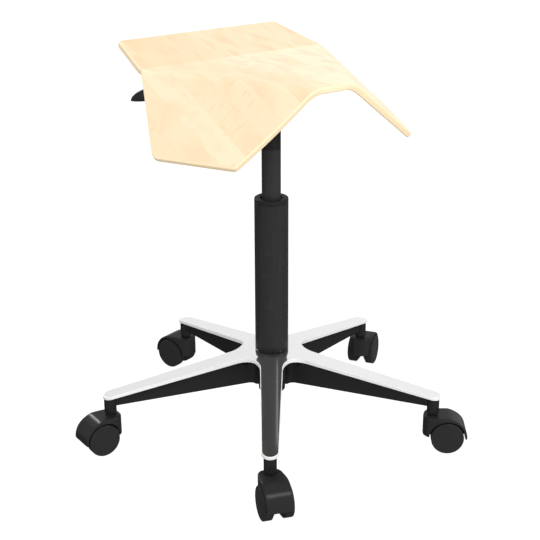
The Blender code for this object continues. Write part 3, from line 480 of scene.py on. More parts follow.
def baked_coat(name, rough, peel, marks, dark, foot=-1.0, head=9.0):
    """Black coat of a given darkness, with painted shade below the foot height and a painted shadow above
    the head height.
    """
    finish, place, feed = new_finish(name, Specular_IOR_Level=0.02, Coat_Roughness=0.07)
    skin = place.cloud(peel)
    rubbed = place.cloud((420, 420, 9), 3.0, 0.6).step(0.5, 0.85)
    dust = place.cloud((60, 60, 45), 4.0, 0.65).step(0.52, 0.85)
    black = (dust * 0.5 + rubbed * marks).tint((dark, dark, dark * 1.02, 1), (*[dark * 1.6] * 3, 1))
    level = place.part("Z")
    # Painted shade: the colour darkens below the foot height, where the column meets the cover.
    above_foot_shade = level.step(foot, foot + FOOT_FADE)
    # Painted shadow of the seat: the colour darkens above the head height.
    seat_shadow = level.step(head - SHADOW_FADE, head + SHADOW_FADE) * 0.6
    black = ((1.0 - above_foot_shade) * 0.7 + seat_shadow).tint(black, PAINTED_SHADE_BLACK)
    gloss = rough + skin * 0.06 + rubbed * marks * 0.10
    feed(Base_Color=black, Roughness=gloss, Coat_Weight=above_foot_shade * 0.12, Normal=skin.bump(0.00004, 0.35))
    return finish


column_coat = baked_coat("column_coat", 0.26, 420, 0.6, 0.0208, COLUMN_FOOT)
# Painted light: the cylinder's coat is paler than the column's, for the light the seat's shade keeps from
# it.
cylinder_coat = baked_coat("cylinder_coat", 0.26, 420, 0.4, 0.0310, head=SEAT_SHADOW_LINE)
frame_coat = baked_coat("frame_coat", 0.36, 620, 0.15, 0.0138)
print("baked coats:", column_coat.name, cylinder_coat.name, frame_coat.name)

# %% [markdown]
# ## Moulded plastic, tread, zinc and rubber
# Hoods, wheel discs, cap and paddle are black nylon with the fine grain of an etched mould.
# Treads pick up dust where they meet the floor, pins and bolts carry zinc, and the bumper is rubber.
# One recipe with a few numbers covers the plastics, because they differ only in grain and gloss.

# %% Plastics
FLOOR_DUST = (0.060, 0.057, 0.052, 1)


def moulded(name, rough, grain, colour, coat, dusty=0.0):
    """Black plastic with etched grain, a slow change of gloss and, where asked for, dust."""
    finish, place, feed = new_finish(name, Specular_IOR_Level=0.02, Coat_Weight=coat, Coat_Roughness=0.22)
    etched = place.cloud(grain, 2.0, 0.7)
    flow = place.cloud(55, 3.0, 0.6)
    dust = place.cloud(190, 4.0, 0.7).step(0.55, 0.8) * dusty
    black = flow.tint((*colour, 1), (*[c * 1.3 for c in colour], 1))
    dulled = dust.tint(black, FLOOR_DUST)
    feed(Base_Color=dulled, Roughness=rough + flow * 0.08 + dust * 0.25, Normal=etched.bump(0.00003, 0.12))
    return finish


hood_plastic = moulded("hood_plastic", 0.30, 1500, (0.0150, 0.0150, 0.0154), 0.16)
cap_plastic = moulded("cap_plastic", 0.36, 1700, (0.0165, 0.0165, 0.0168), 0.04)
grip_plastic = moulded("grip_plastic", 0.34, 1900, (0.0185, 0.0185, 0.0189), 0.06)
disc_plastic = moulded("disc_plastic", 0.38, 1700, (0.0172, 0.0172, 0.0176), 0.10)
tread_plastic = moulded("tread_plastic", 0.48, 1300, (0.0175, 0.0175, 0.0179), 0.04, 0.25)
black_rubber = moulded("black_rubber_finish", 0.68, 900, (0.0160, 0.0158, 0.0155), 0.0, 0.3)
print("moulded: hoods, cap, grip, discs, treads and", black_rubber.name)


# %% Zinc
def zinc_plated():
    """A pale metal with a cloudy bloom and fine drawn lines."""
    finish, place, feed = new_finish("zinc_steel", Metallic=1.0)
    bloom = place.cloud(240, 4.0, 0.65)
    drawn = place.cloud((1500, 1500, 60), 2.0, 0.6)
    pale = bloom.tint((0.470, 0.475, 0.490, 1), (0.680, 0.680, 0.675, 1))
    feed(Base_Color=pale, Roughness=0.22 + bloom * 0.16 + drawn * 0.06, Normal=drawn.bump(0.00002, 0.25))
    return finish


zinc_steel = zinc_plated()
print("zinc:", zinc_steel.name)

# %% [markdown]
# ## The folded seat
# The seat is one sheet: a flat middle, a back panel that rises, and two wings that fold down.
# Height over the plan is the lesser of the middle and the wing plane, with a small curve at each fold.
# Rows of points run from side to side between the two outlines, so the grid ends exactly on the edge.

# %% Height of the sheet
SEAT_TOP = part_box("seat_plate")[1].z + GAP + SEAT_THICK
BACK_EDGE, BACK_HALF, BACK_RISE = -0.1922, 0.1424, math.radians(13.9)
WAIST, WAIST_HALF = -0.0920, 0.1621
FRONT_EDGE, FOLD_FRONT_HALF, WING_DROP = 0.1502, 0.0320, math.radians(42.8)
WAIST_BLEND, FRONT_BLEND = 0.004, 0.013


def soft_min(first, second, blend):
    """The lesser of two heights, lowered by a parabola of the given blend where they cross."""
    near = np.maximum(blend - np.abs(first - second), 0) / blend
    return np.minimum(first, second) - near * near * blend / 4


def seat_height(out, forward):
    """Middle: level, then rising behind the waist. Wing: falls with the distance beyond its fold."""
    middle = -soft_min(0 * out, -math.tan(BACK_RISE) * (WAIST - forward), WAIST_BLEND)
    fold = unit(np.array((FOLD_FRONT_HALF - WAIST_HALF, FRONT_EDGE - WAIST)))
    beyond = (np.abs(out) - WAIST_HALF) * fold[1] - (forward - WAIST) * fold[0]
    share = np.maximum(forward - WAIST, 0) / (FRONT_EDGE - WAIST)
    blend = WAIST_BLEND + (FRONT_BLEND - WAIST_BLEND) * share
    return SEAT_TOP + soft_min(middle, -math.tan(WING_DROP) * beyond, blend)


print("seat top at", round(SEAT_TOP, 4), "m")

# %% Outline of the sheet
EDGE_ROUND, EDGE_GROWTH, ROW_STEP = 0.0022, 0.0003, 0.0026
REAR_CORNER, FRONT_CORNER = (0.2150, 0.0232), (0.1552, 0.1350)
BACK_CORNERS = (0, BACK_EDGE), (BACK_HALF, BACK_EDGE), (WAIST_HALF, WAIST)
SEAT_CORNERS = np.array((*BACK_CORNERS, REAR_CORNER, FRONT_CORNER, (0, FRONT_EDGE)))
CORNER_ROUNDS = np.array((0.008, 0.030, 0.015, 0.008))
CORNER_BENDS = np.array((1, -1, 1, 1))


def inset_side(inset):
    """One side of the plan with every edge moved in by the inset, and its corners rounded to match."""
    along = unit(np.diff(SEAT_CORNERS, axis=0))
    inward = np.stack([-along[:, 1], along[:, 0]], -1)
    both = inward[:-1] + inward[1:]
    shift = inset * both / (1 + (inward[:-1] * inward[1:]).sum(-1, keepdims=True))
    corners = SEAT_CORNERS.copy()
    corners[1:-1] += shift
    corners[0, 1] += inset
    corners[-1, 1] -= inset
    line = softened(corners, CORNER_ROUNDS - CORNER_BENDS * inset, 8)[1:-1]
    return filled(line, ROW_STEP)


half_line = inset_side(EDGE_ROUND - EDGE_GROWTH)
print("side outline:", len(half_line), "rows")


# %% Top, underside and rim
SEAT_COLUMNS = 171


def seat_grid():
    """Rows across the plan. The rows bow forward, more and more towards the front edge."""
    half, end = half_line[:, :1], half_line[:, 1:]
    side = np.linspace(-1, 1, SEAT_COLUMNS)
    share = np.maximum(end - WAIST, 0) / (end[-1] - WAIST)
    forward = end + (FRONT_EDGE - EDGE_ROUND - end[-1]) * share**2 * (1 - side**2)
    return side * half, forward


def seat_points(out, forward):
    """Points on the sheet's top and the unit normals there, from the slope of the height."""
    reach = 1e-5
    slope_out = (seat_height(out + reach, forward) - seat_height(out - reach, forward)) / (2 * reach)
    slope_on = (seat_height(out, forward + reach) - seat_height(out, forward - reach)) / (2 * reach)
    points = np.stack([out, -forward, seat_height(out, forward)], -1)
    return points, unit(np.stack([-slope_out, slope_on, np.ones_like(out)], -1))


def seat_sheets():
    """Two faces a thickness apart along the normal, and a rim whose section is a rounded edge."""
    top, normal = seat_points(*seat_grid())
    under = top - SEAT_THICK * normal
    edge, up = (join(g[0], g[1:, -1], g[-1, -2::-1], g[-2::-1, 0]) for g in (top, normal))
    ahead = directions(edge)
    out = unit(np.cross(ahead, up))
    out /= (out[:, :2] * right_of(ahead)).sum(-1, keepdims=True)
    out *= np.sign((out * (edge - edge.mean(0))).sum())
    turn = np.linspace(0, np.pi / 2, 7)
    reach = EDGE_ROUND * join(np.sin(turn), np.cos(turn))
    down = join(EDGE_ROUND * (1 - np.cos(turn)), SEAT_THICK - EDGE_ROUND * (1 - np.sin(turn)))
    rim = edge + reach[:, None, None] * out - down[:, None, None] * up
    flat = np.stack([run_length(edge) + 0 * down[:, None], down[:, None] + 0 * edge[:, 0]], -1)
    return [sheet(top), sheet(under), sheet(rim, 1, flat)]


seat_finishes = [face_veneer, edge_veneer]
make_piece("seat_sheet", seat_sheets(), seat_finishes, "seat", ["seat_shell"], 60)

# %% [markdown]
# ## The star's cover
# A cast cover lies over the five legs like a glove: flat round the column, then sloping down each leg.
# Its plan is a tapering leg with a round tip, repeated five times with a rounded notch between.
# Rays from the column's hole to that plan carry the top, and a quarter round turns it down at the rim.

# %% Plan and height of the cover
LEGS = math.pi / 2 + 2 * math.pi * np.arange(5) / 5
BOSS_CIRCLE, LEG_SLOPE = 0.2584, math.tan(math.radians(10.25))
COVER_THICK, COVER_FLAT = 0.003, 0.033
COVER_ROOT, COVER_TIP, TIP_INSET, NOTCH_ROUND = 0.0187, 0.0123, 0.002, 0.029
HUB_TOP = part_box("star_frame")[1].z
COVER_UNDER = HUB_TOP + GAP
LEG_BLEND, FLAT_BLEND = 0.0025, 0.0015


def cover_under(x, y):
    """Height of the cover's underside: level near the hub, then falling along the nearest leg."""
    along = x[..., None] * np.cos(LEGS) + y[..., None] * np.sin(LEGS)
    nearest = LEG_BLEND * np.log(np.exp(along / LEG_BLEND).sum(-1))
    beyond = FLAT_BLEND * np.log1p(np.exp((nearest - COVER_FLAT) / FLAT_BLEND))
    return COVER_UNDER - LEG_SLOPE * beyond


def star_plan():
    """The whole outline, anticlockwise: tip arc, side, notch arc, and on to the next leg."""
    centre = BOSS_CIRCLE - TIP_INSET
    half = math.pi / 5
    taper = (COVER_ROOT - COVER_TIP) / centre
    root = COVER_ROOT / (math.tan(half) + taper)
    cos, sin = math.cos(2 * half), math.sin(2 * half)
    next_tip = (centre * cos + COVER_TIP * sin, centre * sin - COVER_TIP * cos)
    notch = softened(((centre, COVER_TIP), (root, root * math.tan(half)), next_tip), NOTCH_ROUND, 24)[1:-1]
    turn = np.linspace(-np.pi / 2, np.pi / 2, 33)
    tip = np.stack([centre + COVER_TIP * np.cos(turn), COVER_TIP * np.sin(turn)], -1)
    leg = join(tip, notch)
    spin = np.stack([np.cos(LEGS), np.sin(LEGS), -np.sin(LEGS), np.cos(LEGS)], -1).reshape(5, 1, 2, 2)
    whole = (leg[None, :, None, :] @ spin).reshape(-1, 2)
    return filled(join(whole, whole[:1]), 0.004)


plan = star_plan()
print("cover plan:", len(plan), "points, reach", round(float(np.hypot(*plan.T).max()), 4), "m")

# %% The cover's skin
COLUMN_RADIUS = 0.02575
COLUMN_NECK, COLUMN_LIP, LIP_HEIGHT = 0.0226, 0.0249, 0.0032
COVER_ROUND, COVER_BEVEL = 0.0006, 0.0004
NEAR_RINGS = (0.025, 0.027, 0.029, 0.031, 0.033, 0.035, 0.0375, 0.0405)
SKIRT_START, SKIRT_ROOT, SKIRT_TIP = 0.06, 0.0031, 0.0017
SKIRT_INSETS = np.array((0, 0, 0.0002, 0.0006, 0.0012, 0.0013))
SKIRT_RISES = (0.0008, 0.0003, 0.0001, 0.0, 0.0, 0.0)


def cover_sheets():
    """Rings from the column's hole outwards over the top, round the rim, and back along the underside."""
    outward = right_of(directions(plan))
    hole = COLUMN_NECK + GAP
    near = np.array((hole + COVER_BEVEL, *NEAR_RINGS))
    inner = plan - COVER_ROUND * outward
    guard = inner - COVER_BEVEL * outward
    reach = np.hypot(*guard.T)
    ray = guard / reach[:, None]
    share = np.linspace(0, 1, 17)[1:, None]
    radius = join(near[:, None] + 0 * reach, near[-1] + (reach - near[-1]) * share)
    top = join(radius[..., None] * ray, [inner])
    turn = np.linspace(0, np.pi / 2, 8)[1:, None, None]
    round_off = inner + COVER_ROUND * np.sin(turn) * outward
    low = plan - outward * SKIRT_INSETS[:, None, None]
    back = (hole + (reach - hole) * np.linspace(0.95, 0, 8)[:, None])[..., None] * ray
    flat = join([hole * ray], top, round_off, low, back, [hole * ray])
    bevel = [COVER_THICK - COVER_BEVEL]
    bend = COVER_THICK - COVER_ROUND * (1 - np.cos(turn.ravel()))
    rise = join(bevel, np.full(len(top), COVER_THICK), bend, SKIRT_RISES, np.zeros(len(back)), bevel)
    level = cover_under(flat[..., 0], flat[..., 1]) + rise[:, None]
    rim = 1 + len(top) + len(round_off)
    skirt = np.interp(np.hypot(*plan.T), (SKIRT_START, BOSS_CIRCLE), (SKIRT_ROOT, SKIRT_TIP))
    level[rim : rim + len(low) - 1] -= skirt
    points = np.concatenate([flat, level[..., None]], -1)
    return [sheet(points[: len(top)]), sheet(points[len(top) - 1 :], 1)]


cover_finishes = [cover_metal, rim_metal]
make_piece("star_cover_skin", cover_sheets(), cover_finishes, "base", ["star_cover"])

# %% [markdown]
# ## The frame under the cover
# Below the cover sits the black frame: a hub round the column, a rib along each leg, a boss at its tip.
# A rib is deep at the hub and shallow at the boss, and it swells into the hub as castings and welds do.
# Its section keeps small rounds at the lower edge, so heights are added to the round instead of scaled.

# %% Hub, ribs and bosses
HUB_DEPTH, HUB_RADIUS, HUB_BORE_LOW, HUB_BORE_HIGH = 0.0507, 0.030, 0.0243, 0.0253
HUB_BOTTOM = HUB_TOP - HUB_DEPTH
BOSS_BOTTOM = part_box("star_frame")[0].z
BOSS_RADIUS, BOSS_BORE, BORE_DEPTH = 0.0093, 0.0058, 0.004
RIB_HALF, RIB_SWELL, RIB_START, RIB_SUNK = 0.0045, 0.011, 0.0278, 0.0006
RIB_LOW, RIB_HIGH = HUB_BOTTOM + 0.001, BOSS_BOTTOM + 0.0102


def rib_sheet():
    """A closed section carried along +X: its lower points follow the rib's bottom, the upper the cover."""
    low = softened(((-RIB_HALF, 0.006), (-RIB_HALF, 0), (RIB_HALF, 0), (RIB_HALF, 0.006)), 0.0016, 5)
    high = softened(((RIB_HALF, -0.003), (RIB_HALF, 0), (-RIB_HALF, 0), (-RIB_HALF, -0.003)), 0.0006, 3)
    section = join(low, high, low[:1])
    upper = join(np.zeros(len(low)), np.ones(len(high)), [0.0])
    x = join(np.linspace(RIB_START, 0.044, 18), np.linspace(0.050, BOSS_CIRCLE, 22))[:, None]
    share = (x - RIB_START) / (BOSS_CIRCLE - RIB_START)
    bottom = RIB_LOW + (RIB_HIGH - RIB_LOW) * share
    top = cover_under(x * np.cos(LEGS[0]), x * np.sin(LEGS[0])) - RIB_SUNK
    gone = np.clip(RIB_SWELL - (x - HUB_RADIUS), 0, RIB_SWELL)
    swell = RIB_SWELL - np.sqrt(RIB_SWELL**2 - gone**2)
    across = section[:, 0] + np.sign(section[:, 0]) * swell * 0.8
    points = np.stack([x + 0 * across, across, bottom * (1 - upper) + top * upper + section[:, 1]], -1)
    ends = [points[[0]] * 0 + points[[i]].mean(1, keepdims=True) for i in (0, -1)]
    return sheet(join(ends[0], points, ends[1]))


def boss_sheet():
    """A post turned about its own axis, whose top is cut to the slope of the cover."""
    top = HUB_TOP - LEG_SLOPE * (BOSS_CIRCLE - COVER_FLAT)
    roof = BOSS_BOTTOM + BORE_DEPTH
    inside = (BOSS_BORE, roof), (BOSS_BORE, BOSS_BOTTOM)
    wall = softened((*inside, (BOSS_RADIUS, BOSS_BOTTOM), (BOSS_RADIUS, top)), (0.0005, 0.0011), 5)
    made = turned(join([(0, roof)], wall, [(0, top)]), 48)
    made["points"][-2:, :, 2] -= LEG_SLOPE * made["points"][-2:, :, 0]
    return made


def frame_sheets():
    """The hub turned from its section, and a rib and a boss turned to each leg's direction."""
    start = (HUB_BORE_LOW, HUB_BOTTOM)
    hub = (start, (HUB_RADIUS, HUB_BOTTOM), (HUB_RADIUS, HUB_TOP), (HUB_BORE_HIGH, HUB_TOP), start)
    sheets = [turned(softened(hub, (0.0022, 0.0005, 0.0003), 5), 96)]
    sheets += [placed(rib_sheet(), turn) for turn in LEGS]
    place = BOSS_CIRCLE * np.stack([np.cos(LEGS), np.sin(LEGS), 0 * LEGS], -1)
    return sheets + [placed(boss_sheet(), turn, spot) for turn, spot in zip(LEGS, place)]


make_piece("star_frame_skin", frame_sheets(), [frame_coat], "base", ["star_frame"])

# %% [markdown]
# ## Column, cap and gas cylinder
# The column is a steel tube that narrows a little where it meets the cover, with a plastic cap on top.
# The gas cylinder slides in the cap and ends in the socket under the seat.
# All four are turned, so only their profiles differ, from the bore round to the outside.

# %% Column and cap
CAP_LIFT, FOOT_DROP = 0.0018, 0.0025
FOOT_RADIUS, FOOT_THICK, FOOT_HOLE, HUB_SEAT = 0.0208, 0.004, 0.0053, 0.0232
COLUMN_BORE, FOOT_BORE, NECK_RISE = 0.023, 0.0183, 0.005
TUBE_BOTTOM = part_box("column_tube")[0].z - FOOT_DROP
TUBE_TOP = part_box("column_tube")[1].z + CAP_LIFT
CAP_BOTTOM, CAP_TOP = (corner.z + CAP_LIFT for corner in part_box("column_cap"))
CAP_BORE = 0.0147
COVER_TOP = COVER_UNDER + COVER_THICK


def column_profile():
    """Bore, foot, tapered seat in the hub, a drawn-in lip over the cover, and the straight outside."""
    neck = HUB_BOTTOM + NECK_RISE
    turn = np.linspace(0, np.pi / 2, 10)
    lip_out = COLUMN_LIP + (COLUMN_RADIUS - COLUMN_LIP) * np.sin(turn)
    lip = np.stack([lip_out, COVER_TOP + GAP + LIP_HEIGHT * (1 - np.cos(turn))], -1)
    neck_line = [(COLUMN_NECK, HUB_TOP), (COLUMN_NECK, COVER_TOP + GAP)]
    corners = ((FOOT_HOLE, TUBE_BOTTOM), (FOOT_RADIUS, TUBE_BOTTOM), (FOOT_RADIUS, neck), (HUB_SEAT, neck))
    foot = softened(corners, (0.002, 0.0006), 5)
    corners = (lip[-1], (COLUMN_RADIUS, TUBE_TOP), (COLUMN_BORE, TUBE_TOP), (COLUMN_BORE, HUB_TOP))
    head = softened(corners, (0.0006, 0.0004), 4)
    floor_level = TUBE_BOTTOM + FOOT_THICK
    inside = ((0.022, neck + 0.002), (FOOT_BORE, neck + 0.002), (FOOT_BORE, floor_level))
    close = [(FOOT_HOLE, floor_level), foot[0]]
    return join(foot, neck_line, lip, head, inside, close)


post = [turned(column_profile(), 128)]
make_piece("column_post", post, [column_coat], "base", ["column_tube"])


def cap_profile():
    """A ring with a round shoulder and a shallow dish that leads into the sliding bore."""
    wall = (CAP_BORE, CAP_BOTTOM), (COLUMN_RADIUS, CAP_BOTTOM), (COLUMN_RADIUS, CAP_TOP), (0.0185, CAP_TOP)
    dish = (0.0168, CAP_TOP - 0.0008), (0.0165, CAP_TOP - 0.0040), (CAP_BORE, CAP_TOP - 0.0044)
    return softened((*wall, *dish, wall[0]), (0.0007, 0.0017, 0.001, 0.0006, 0.0004, 0.0003), 6)


cap = [turned(cap_profile(), 128)]
make_piece("column_cap_ring", cap, [cap_plastic], "base", ["column_cap"])

# %% Gas cylinder and its socket
CYLINDER_BOTTOM, CYLINDER_TOP = (corner.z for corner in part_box("gas_cylinder"))
SOCKET_BOTTOM, SOCKET_TOP = (corner.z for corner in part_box("taper_socket"))
VALVE_HOLE, HEAD_RADIUS, CYLINDER_RADIUS, CYLINDER_BORE, HEAD_DEPTH = 0.0033, 0.0132, 0.0144, 0.0120, 0.026
SOCKET_BORE, SOCKET_RADIUS = 0.0136, 0.0180


def cylinder_profile():
    """Outside from the head down the taper to the foot, then up the bore to the valve's hole."""
    head = (VALVE_HOLE, CYLINDER_TOP), (HEAD_RADIUS, CYLINDER_TOP), (HEAD_RADIUS, SOCKET_TOP)
    foot = (CYLINDER_RADIUS, CYLINDER_BOTTOM), (CYLINDER_BORE, CYLINDER_BOTTOM)
    roof = CYLINDER_TOP - HEAD_DEPTH
    bore = (CYLINDER_BORE, roof), (VALVE_HOLE, roof), head[0]
    corners = (*head, (CYLINDER_RADIUS, SOCKET_BOTTOM), *foot, *bore)
    return softened(corners, (0.0012, 0.004, 0.004, 0.0008, 0.0005, 0.0005, 0.0004), 5)


gas = [turned(cylinder_profile(), 96)]
make_piece("gas_cylinder_post", gas, [cylinder_coat], "seat", ["gas_cylinder"])


def socket_profile():
    """A sleeve with a rolled lower lip and a weld fillet where it meets the housing."""
    weld = (SOCKET_BORE, SOCKET_TOP), (0.0210, SOCKET_TOP), (SOCKET_RADIUS, SOCKET_TOP - 0.0034)
    lip = (SOCKET_RADIUS, SOCKET_BOTTOM), (0.0147, SOCKET_BOTTOM), weld[0]
    return softened((*weld, *lip), (0.0006, 0.0025, 0.0016, 0.0008), 6)


sleeve = [turned(socket_profile(), 96)]
make_piece("cylinder_socket", sleeve, [frame_coat], "seat", ["taper_socket"])

# %% [markdown]
# ## Casters
# Each caster swivels on a stem and rolls on two wheels under a moulded hood.
# Seen from the side the hood is an arc round the axle in front and a straight wall behind.
# Angles about the axle carry its section, whose width follows the hood's plan from above.

# %% Hood section
TRAIL, WHEEL_RADIUS, HOOD_INNER, HOOD_OUTER = 0.022, 0.025, 0.0273, 0.0304
HOOD_LIFT, HOOD_EDGE, HOOD_BLEND = 0.0008, 0.0026, 0.008
HOOD_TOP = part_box("caster_hood_1")[1].z + HOOD_LIFT
HOOD_REAR, HOOD_HALF, HOOD_NECK, HOOD_ROUND = 0.0142, 0.0200, 0.0183, 0.016
HOOD_FRONT, THIN_END, BEND_START, BEND_SPAN = -3, 30, 62, 28
FRONT_THIN = 0.0003


def hood_width(x):
    """Half the plan's width: full over the wheels, narrower at the neck, half round behind the stem."""
    middle = HOOD_ROUND - HOOD_REAR
    ahead = np.interp(x, (middle, 0.012), (HOOD_NECK, HOOD_HALF))
    behind = HOOD_NECK - HOOD_ROUND + np.sqrt(np.maximum(HOOD_ROUND**2 - (x - middle) ** 2, 0))
    return np.where(x < middle, behind, ahead)


def hood_reach(angle):
    """From the axle to the outside: the arc in front, else the nearer of flat top and rear wall."""
    rise = HOOD_TOP - WHEEL_RADIUS
    top = rise / np.maximum(np.sin(angle), 1e-6)
    rear = (TRAIL + HOOD_REAR) / np.maximum(-np.cos(angle), 1e-6)
    straight = soft_min(top, rear, HOOD_BLEND)
    bend = np.clip((angle - math.radians(BEND_START)) / math.radians(BEND_SPAN), 0, 1)
    bend = bend * bend * (3 - 2 * bend)
    return np.where(angle > np.pi / 2, straight, HOOD_OUTER + (rise - HOOD_OUTER) * bend)


def hood_shell():
    """For each angle about the axle, a loop up one side, over the top, down the other and back inside."""
    angle = np.radians(join(np.linspace(HOOD_FRONT, 89, 60), np.linspace(91, 180, 46)))[:, None]
    outer = hood_reach(angle) - np.interp(angle, np.radians((HOOD_FRONT, THIN_END)), (FRONT_THIN, 0.0))
    edge = np.minimum(HOOD_EDGE, 0.45 * (outer - HOOD_INNER))
    edge = np.minimum(edge, 0.6 * hood_width(TRAIL + outer * np.cos(angle)))
    turn = np.linspace(0, np.pi / 2, 7)
    crown, wall, inside = np.ones(9), np.zeros(3), np.zeros(8)
    upper = np.ones(len(crown) + 2 * len(turn))
    rise = join(np.linspace(0, 1, 4)[:-1], upper, np.linspace(1, 0, 4)[1:], inside)
    curves = (np.sin(turn), 1 - np.cos(turn))
    lift, tuck = (join(wall, curve, crown, curve[::-1], wall, inside) for curve in curves)
    flank = np.ones(len(wall) + len(turn))
    side = join(-flank, np.linspace(-1, 1, 11)[1:-1], flank, np.linspace(1, -1, 9)[1:])
    radius = HOOD_INNER + (outer - edge - HOOD_INNER) * rise + edge * lift
    x = TRAIL + radius * np.cos(angle)
    width = hood_width(x) - edge * tuck
    points = np.stack([x, width * side, WHEEL_RADIUS + radius * np.sin(angle)], -1)
    ends = [0 * points[[i]] + points[[i]] * (1, 0, 1) for i in (0, -1)]
    return sheet(join(ends[0], points, ends[1]))


shell = hood_shell()
print("hood shell:", shell["points"].shape[:2], "grid")


# %% Web between the wheels
WEB_HALF, WEB_REACH, WEB_UNDER = 0.0045, HOOD_INNER + 0.0008, 0.0075


def web_sheet():
    """A wall between the wheels: a half disc above the axle, a small round under it, and soft edges."""
    above = np.radians(np.linspace(0, 180, 49))
    under = np.radians(np.linspace(180, 360, 33))
    angle = join(above, under, above[:1])
    reach = join(np.full(len(above), WEB_REACH), np.full(len(under), WEB_UNDER), [WEB_REACH])
    outline = reach[:, None] * np.stack([np.cos(angle), np.sin(angle)], -1)
    share = np.array((0, 0.5, 0.97, 1, 1, 0.97, 0.5, 0))[:, None, None]
    across = WEB_HALF * np.array((-1, -1, -1, -0.9, 0.9, 1, 1, 1))[:, None]
    ring = outline * share
    place = (TRAIL + ring[..., 0], across + 0 * ring[..., 0], WHEEL_RADIUS + ring[..., 1])
    return sheet(np.stack(place, -1))


# %% Wheels and stems
WHEEL_OUT, WHEEL_IN, AXLE_BORE, BORE_END = 0.0219, 0.0048, 0.0033, 0.0175
STEM_GRIP, STEM_COLLAR, STEM_PIVOT = 0.0055, 0.0075, 0.0040


def wheel_sheets(side):
    """Disc, parting groove, rim, tread, sloping inner side and blind bore, turned about the axle."""
    face = WHEEL_OUT
    disc = (0, face - 0.0003), (0.0195, face), (0.0202, face - 0.0005), (0.0209, face)
    rim = (WHEEL_RADIUS, face), (WHEEL_RADIUS, 0.0092), (0.0185, WHEEL_IN)
    bore = (AXLE_BORE, WHEEL_IN), (AXLE_BORE, BORE_END), (0, BORE_END)
    rounds = (0.0006, 0.0003, 0.0005, 0.0016, 0.0012, 0.0008, 0.0004, 0.0002)
    profile = softened(disc + rim + bore, rounds, 6)
    shoulder = int(np.argmax(profile[:, 0] > WHEEL_RADIUS - 1e-5))
    sheets = [turned(profile[: shoulder + 1], 80, 0), turned(profile[shoulder:], 80, 1)]
    for made in sheets:
        radial = made["points"]
        place = (TRAIL + radial[..., 0], side * radial[..., 2], WHEEL_RADIUS + radial[..., 1])
        made["points"] = np.stack(place, -1)
    return sheets


def stem_profile():
    """Grip inside the boss, a round-edged collar below it, and the pivot that the hood turns on."""
    low, high = (corner.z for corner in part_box("caster_stem_1"))
    upper, lower = BOSS_BOTTOM - GAP, HOOD_TOP + GAP
    grip = (0, high), (STEM_GRIP, high), (STEM_GRIP, upper)
    collar = (STEM_COLLAR, upper), (STEM_COLLAR, lower)
    pivot = (STEM_PIVOT, lower), (STEM_PIVOT, low), (0, low)
    return softened(grip + collar + pivot, (0.0006, 0.0002, 0.0007, 0.0007, 0.0003, 0.0005), 5)


# %% Five casters
CASTER_TURN = math.radians(17.1)
wheel_finishes = [disc_plastic, tread_plastic]
for number, leg in enumerate(LEGS, 1):
    spot = (BOSS_CIRCLE * math.cos(leg), BOSS_CIRCLE * math.sin(leg), 0)
    heading = leg + CASTER_TURN
    hood = [placed(item, heading, spot) for item in (shell, web_sheet())]
    node = f"caster_hood_{number}"
    make_piece(f"hood_{number}", hood, [hood_plastic], f"caster_{number}", [node], 50)
    node = f"caster_stem_{number}"
    stem = placed(turned(stem_profile(), 48), 0, spot)
    make_piece(f"stem_{number}", [stem], [frame_coat], "base", [node])
    for word, side in (("left", 1), ("right", -1)):
        wheel = [placed(item, heading, spot) for item in wheel_sheets(side)]
        node = f"caster_wheel_{number}_{word}"
        body = f"wheel_{number}_{word}"
        make_piece(f"wheel_skin_{number}_{word}", wheel, wheel_finishes, body, [node], 50)

# %% [markdown]
# ## Release lever
# A flat bar runs out under the seat to a leaf-shaped paddle that fingers can find without looking.
# The paddle swells from a neck, droops a little and closes in a round tip, flatter below than above.
# Each ring of its grid is an ellipse whose height and width shrink towards the tip.

# %% Paddle
LEVER_TURN = math.radians(144)
DROOP = math.tan(math.radians(5.6))
VALVE_RISE, PRESS_REACH, BAR_HALF = 0.0063, 0.003, 0.005
BAR_AXIS = CYLINDER_TOP + VALVE_RISE + PRESS_REACH * DROOP + BAR_HALF / math.cos(math.atan(DROOP))
REACH, PADDLE_LENGTH, PADDLE_HALF, PADDLE_NECK = 0.204, 0.070, 0.0105, 0.7
PADDLE_SAG, TIP_DROP = 0.003, 0.0050


def paddle_sheet():
    """Rings along the bar. The top closes early towards a low tip, and the bottom stays flat to the end."""
    tip = 1 - 0.1 * np.linspace(0.9, 0, 14) ** 2
    share = join([0, 0, 0.006], np.linspace(0.02, 0.9, 34), tip)[:, None]
    turn = np.linspace(0, 2 * np.pi, 49)
    swell = PADDLE_NECK + (1 - PADDLE_NECK) * np.sin(np.pi * share)
    half = PADDLE_HALF * swell * join([0, 0.9, 0.985], np.ones(48))[:, None]
    drop = TIP_DROP * share**6
    above = (half + drop * 0.5) * np.sqrt(np.maximum(1 - share**7, 0))
    below = np.maximum(0.93 * half - drop, 0) * np.sqrt(np.maximum(1 - share**18, 0))
    along = REACH - PADDLE_LENGTH + PADDLE_LENGTH * share
    middle = BAR_AXIS - along * DROOP - PADDLE_SAG * share**2 - drop
    across = half * np.sqrt(np.maximum(1 - share**5, 0)) * np.cos(turn)
    level = middle + np.where(np.sin(turn) > 0, above, below) * np.sin(turn)
    return sheet(np.stack([along + 0 * across, across, level], -1))


paddle_skin = placed(paddle_sheet(), LEVER_TURN)
make_piece("paddle_grip", [paddle_skin], [grip_plastic], "lever", ["lever_paddle"], 60)

# %% [markdown]
# ## Seat plate and bolts
# Under the seat a square steel plate spreads the load, and four socket-head bolts hold it to the wood.
# Plate and housing are turned a little, because the lever leaves on one side.
# A bolt's head is turned like a cap, but the ring at its socket follows a hexagon instead of a circle.

# %% Plate
PLATE_BOTTOM, PLATE_TOP = (corner.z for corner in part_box("seat_plate"))
PLATE_HALF, PLATE_CORNER, PLATE_EDGE, PLATE_RING = 0.048, 0.010, 0.0009, 0.02


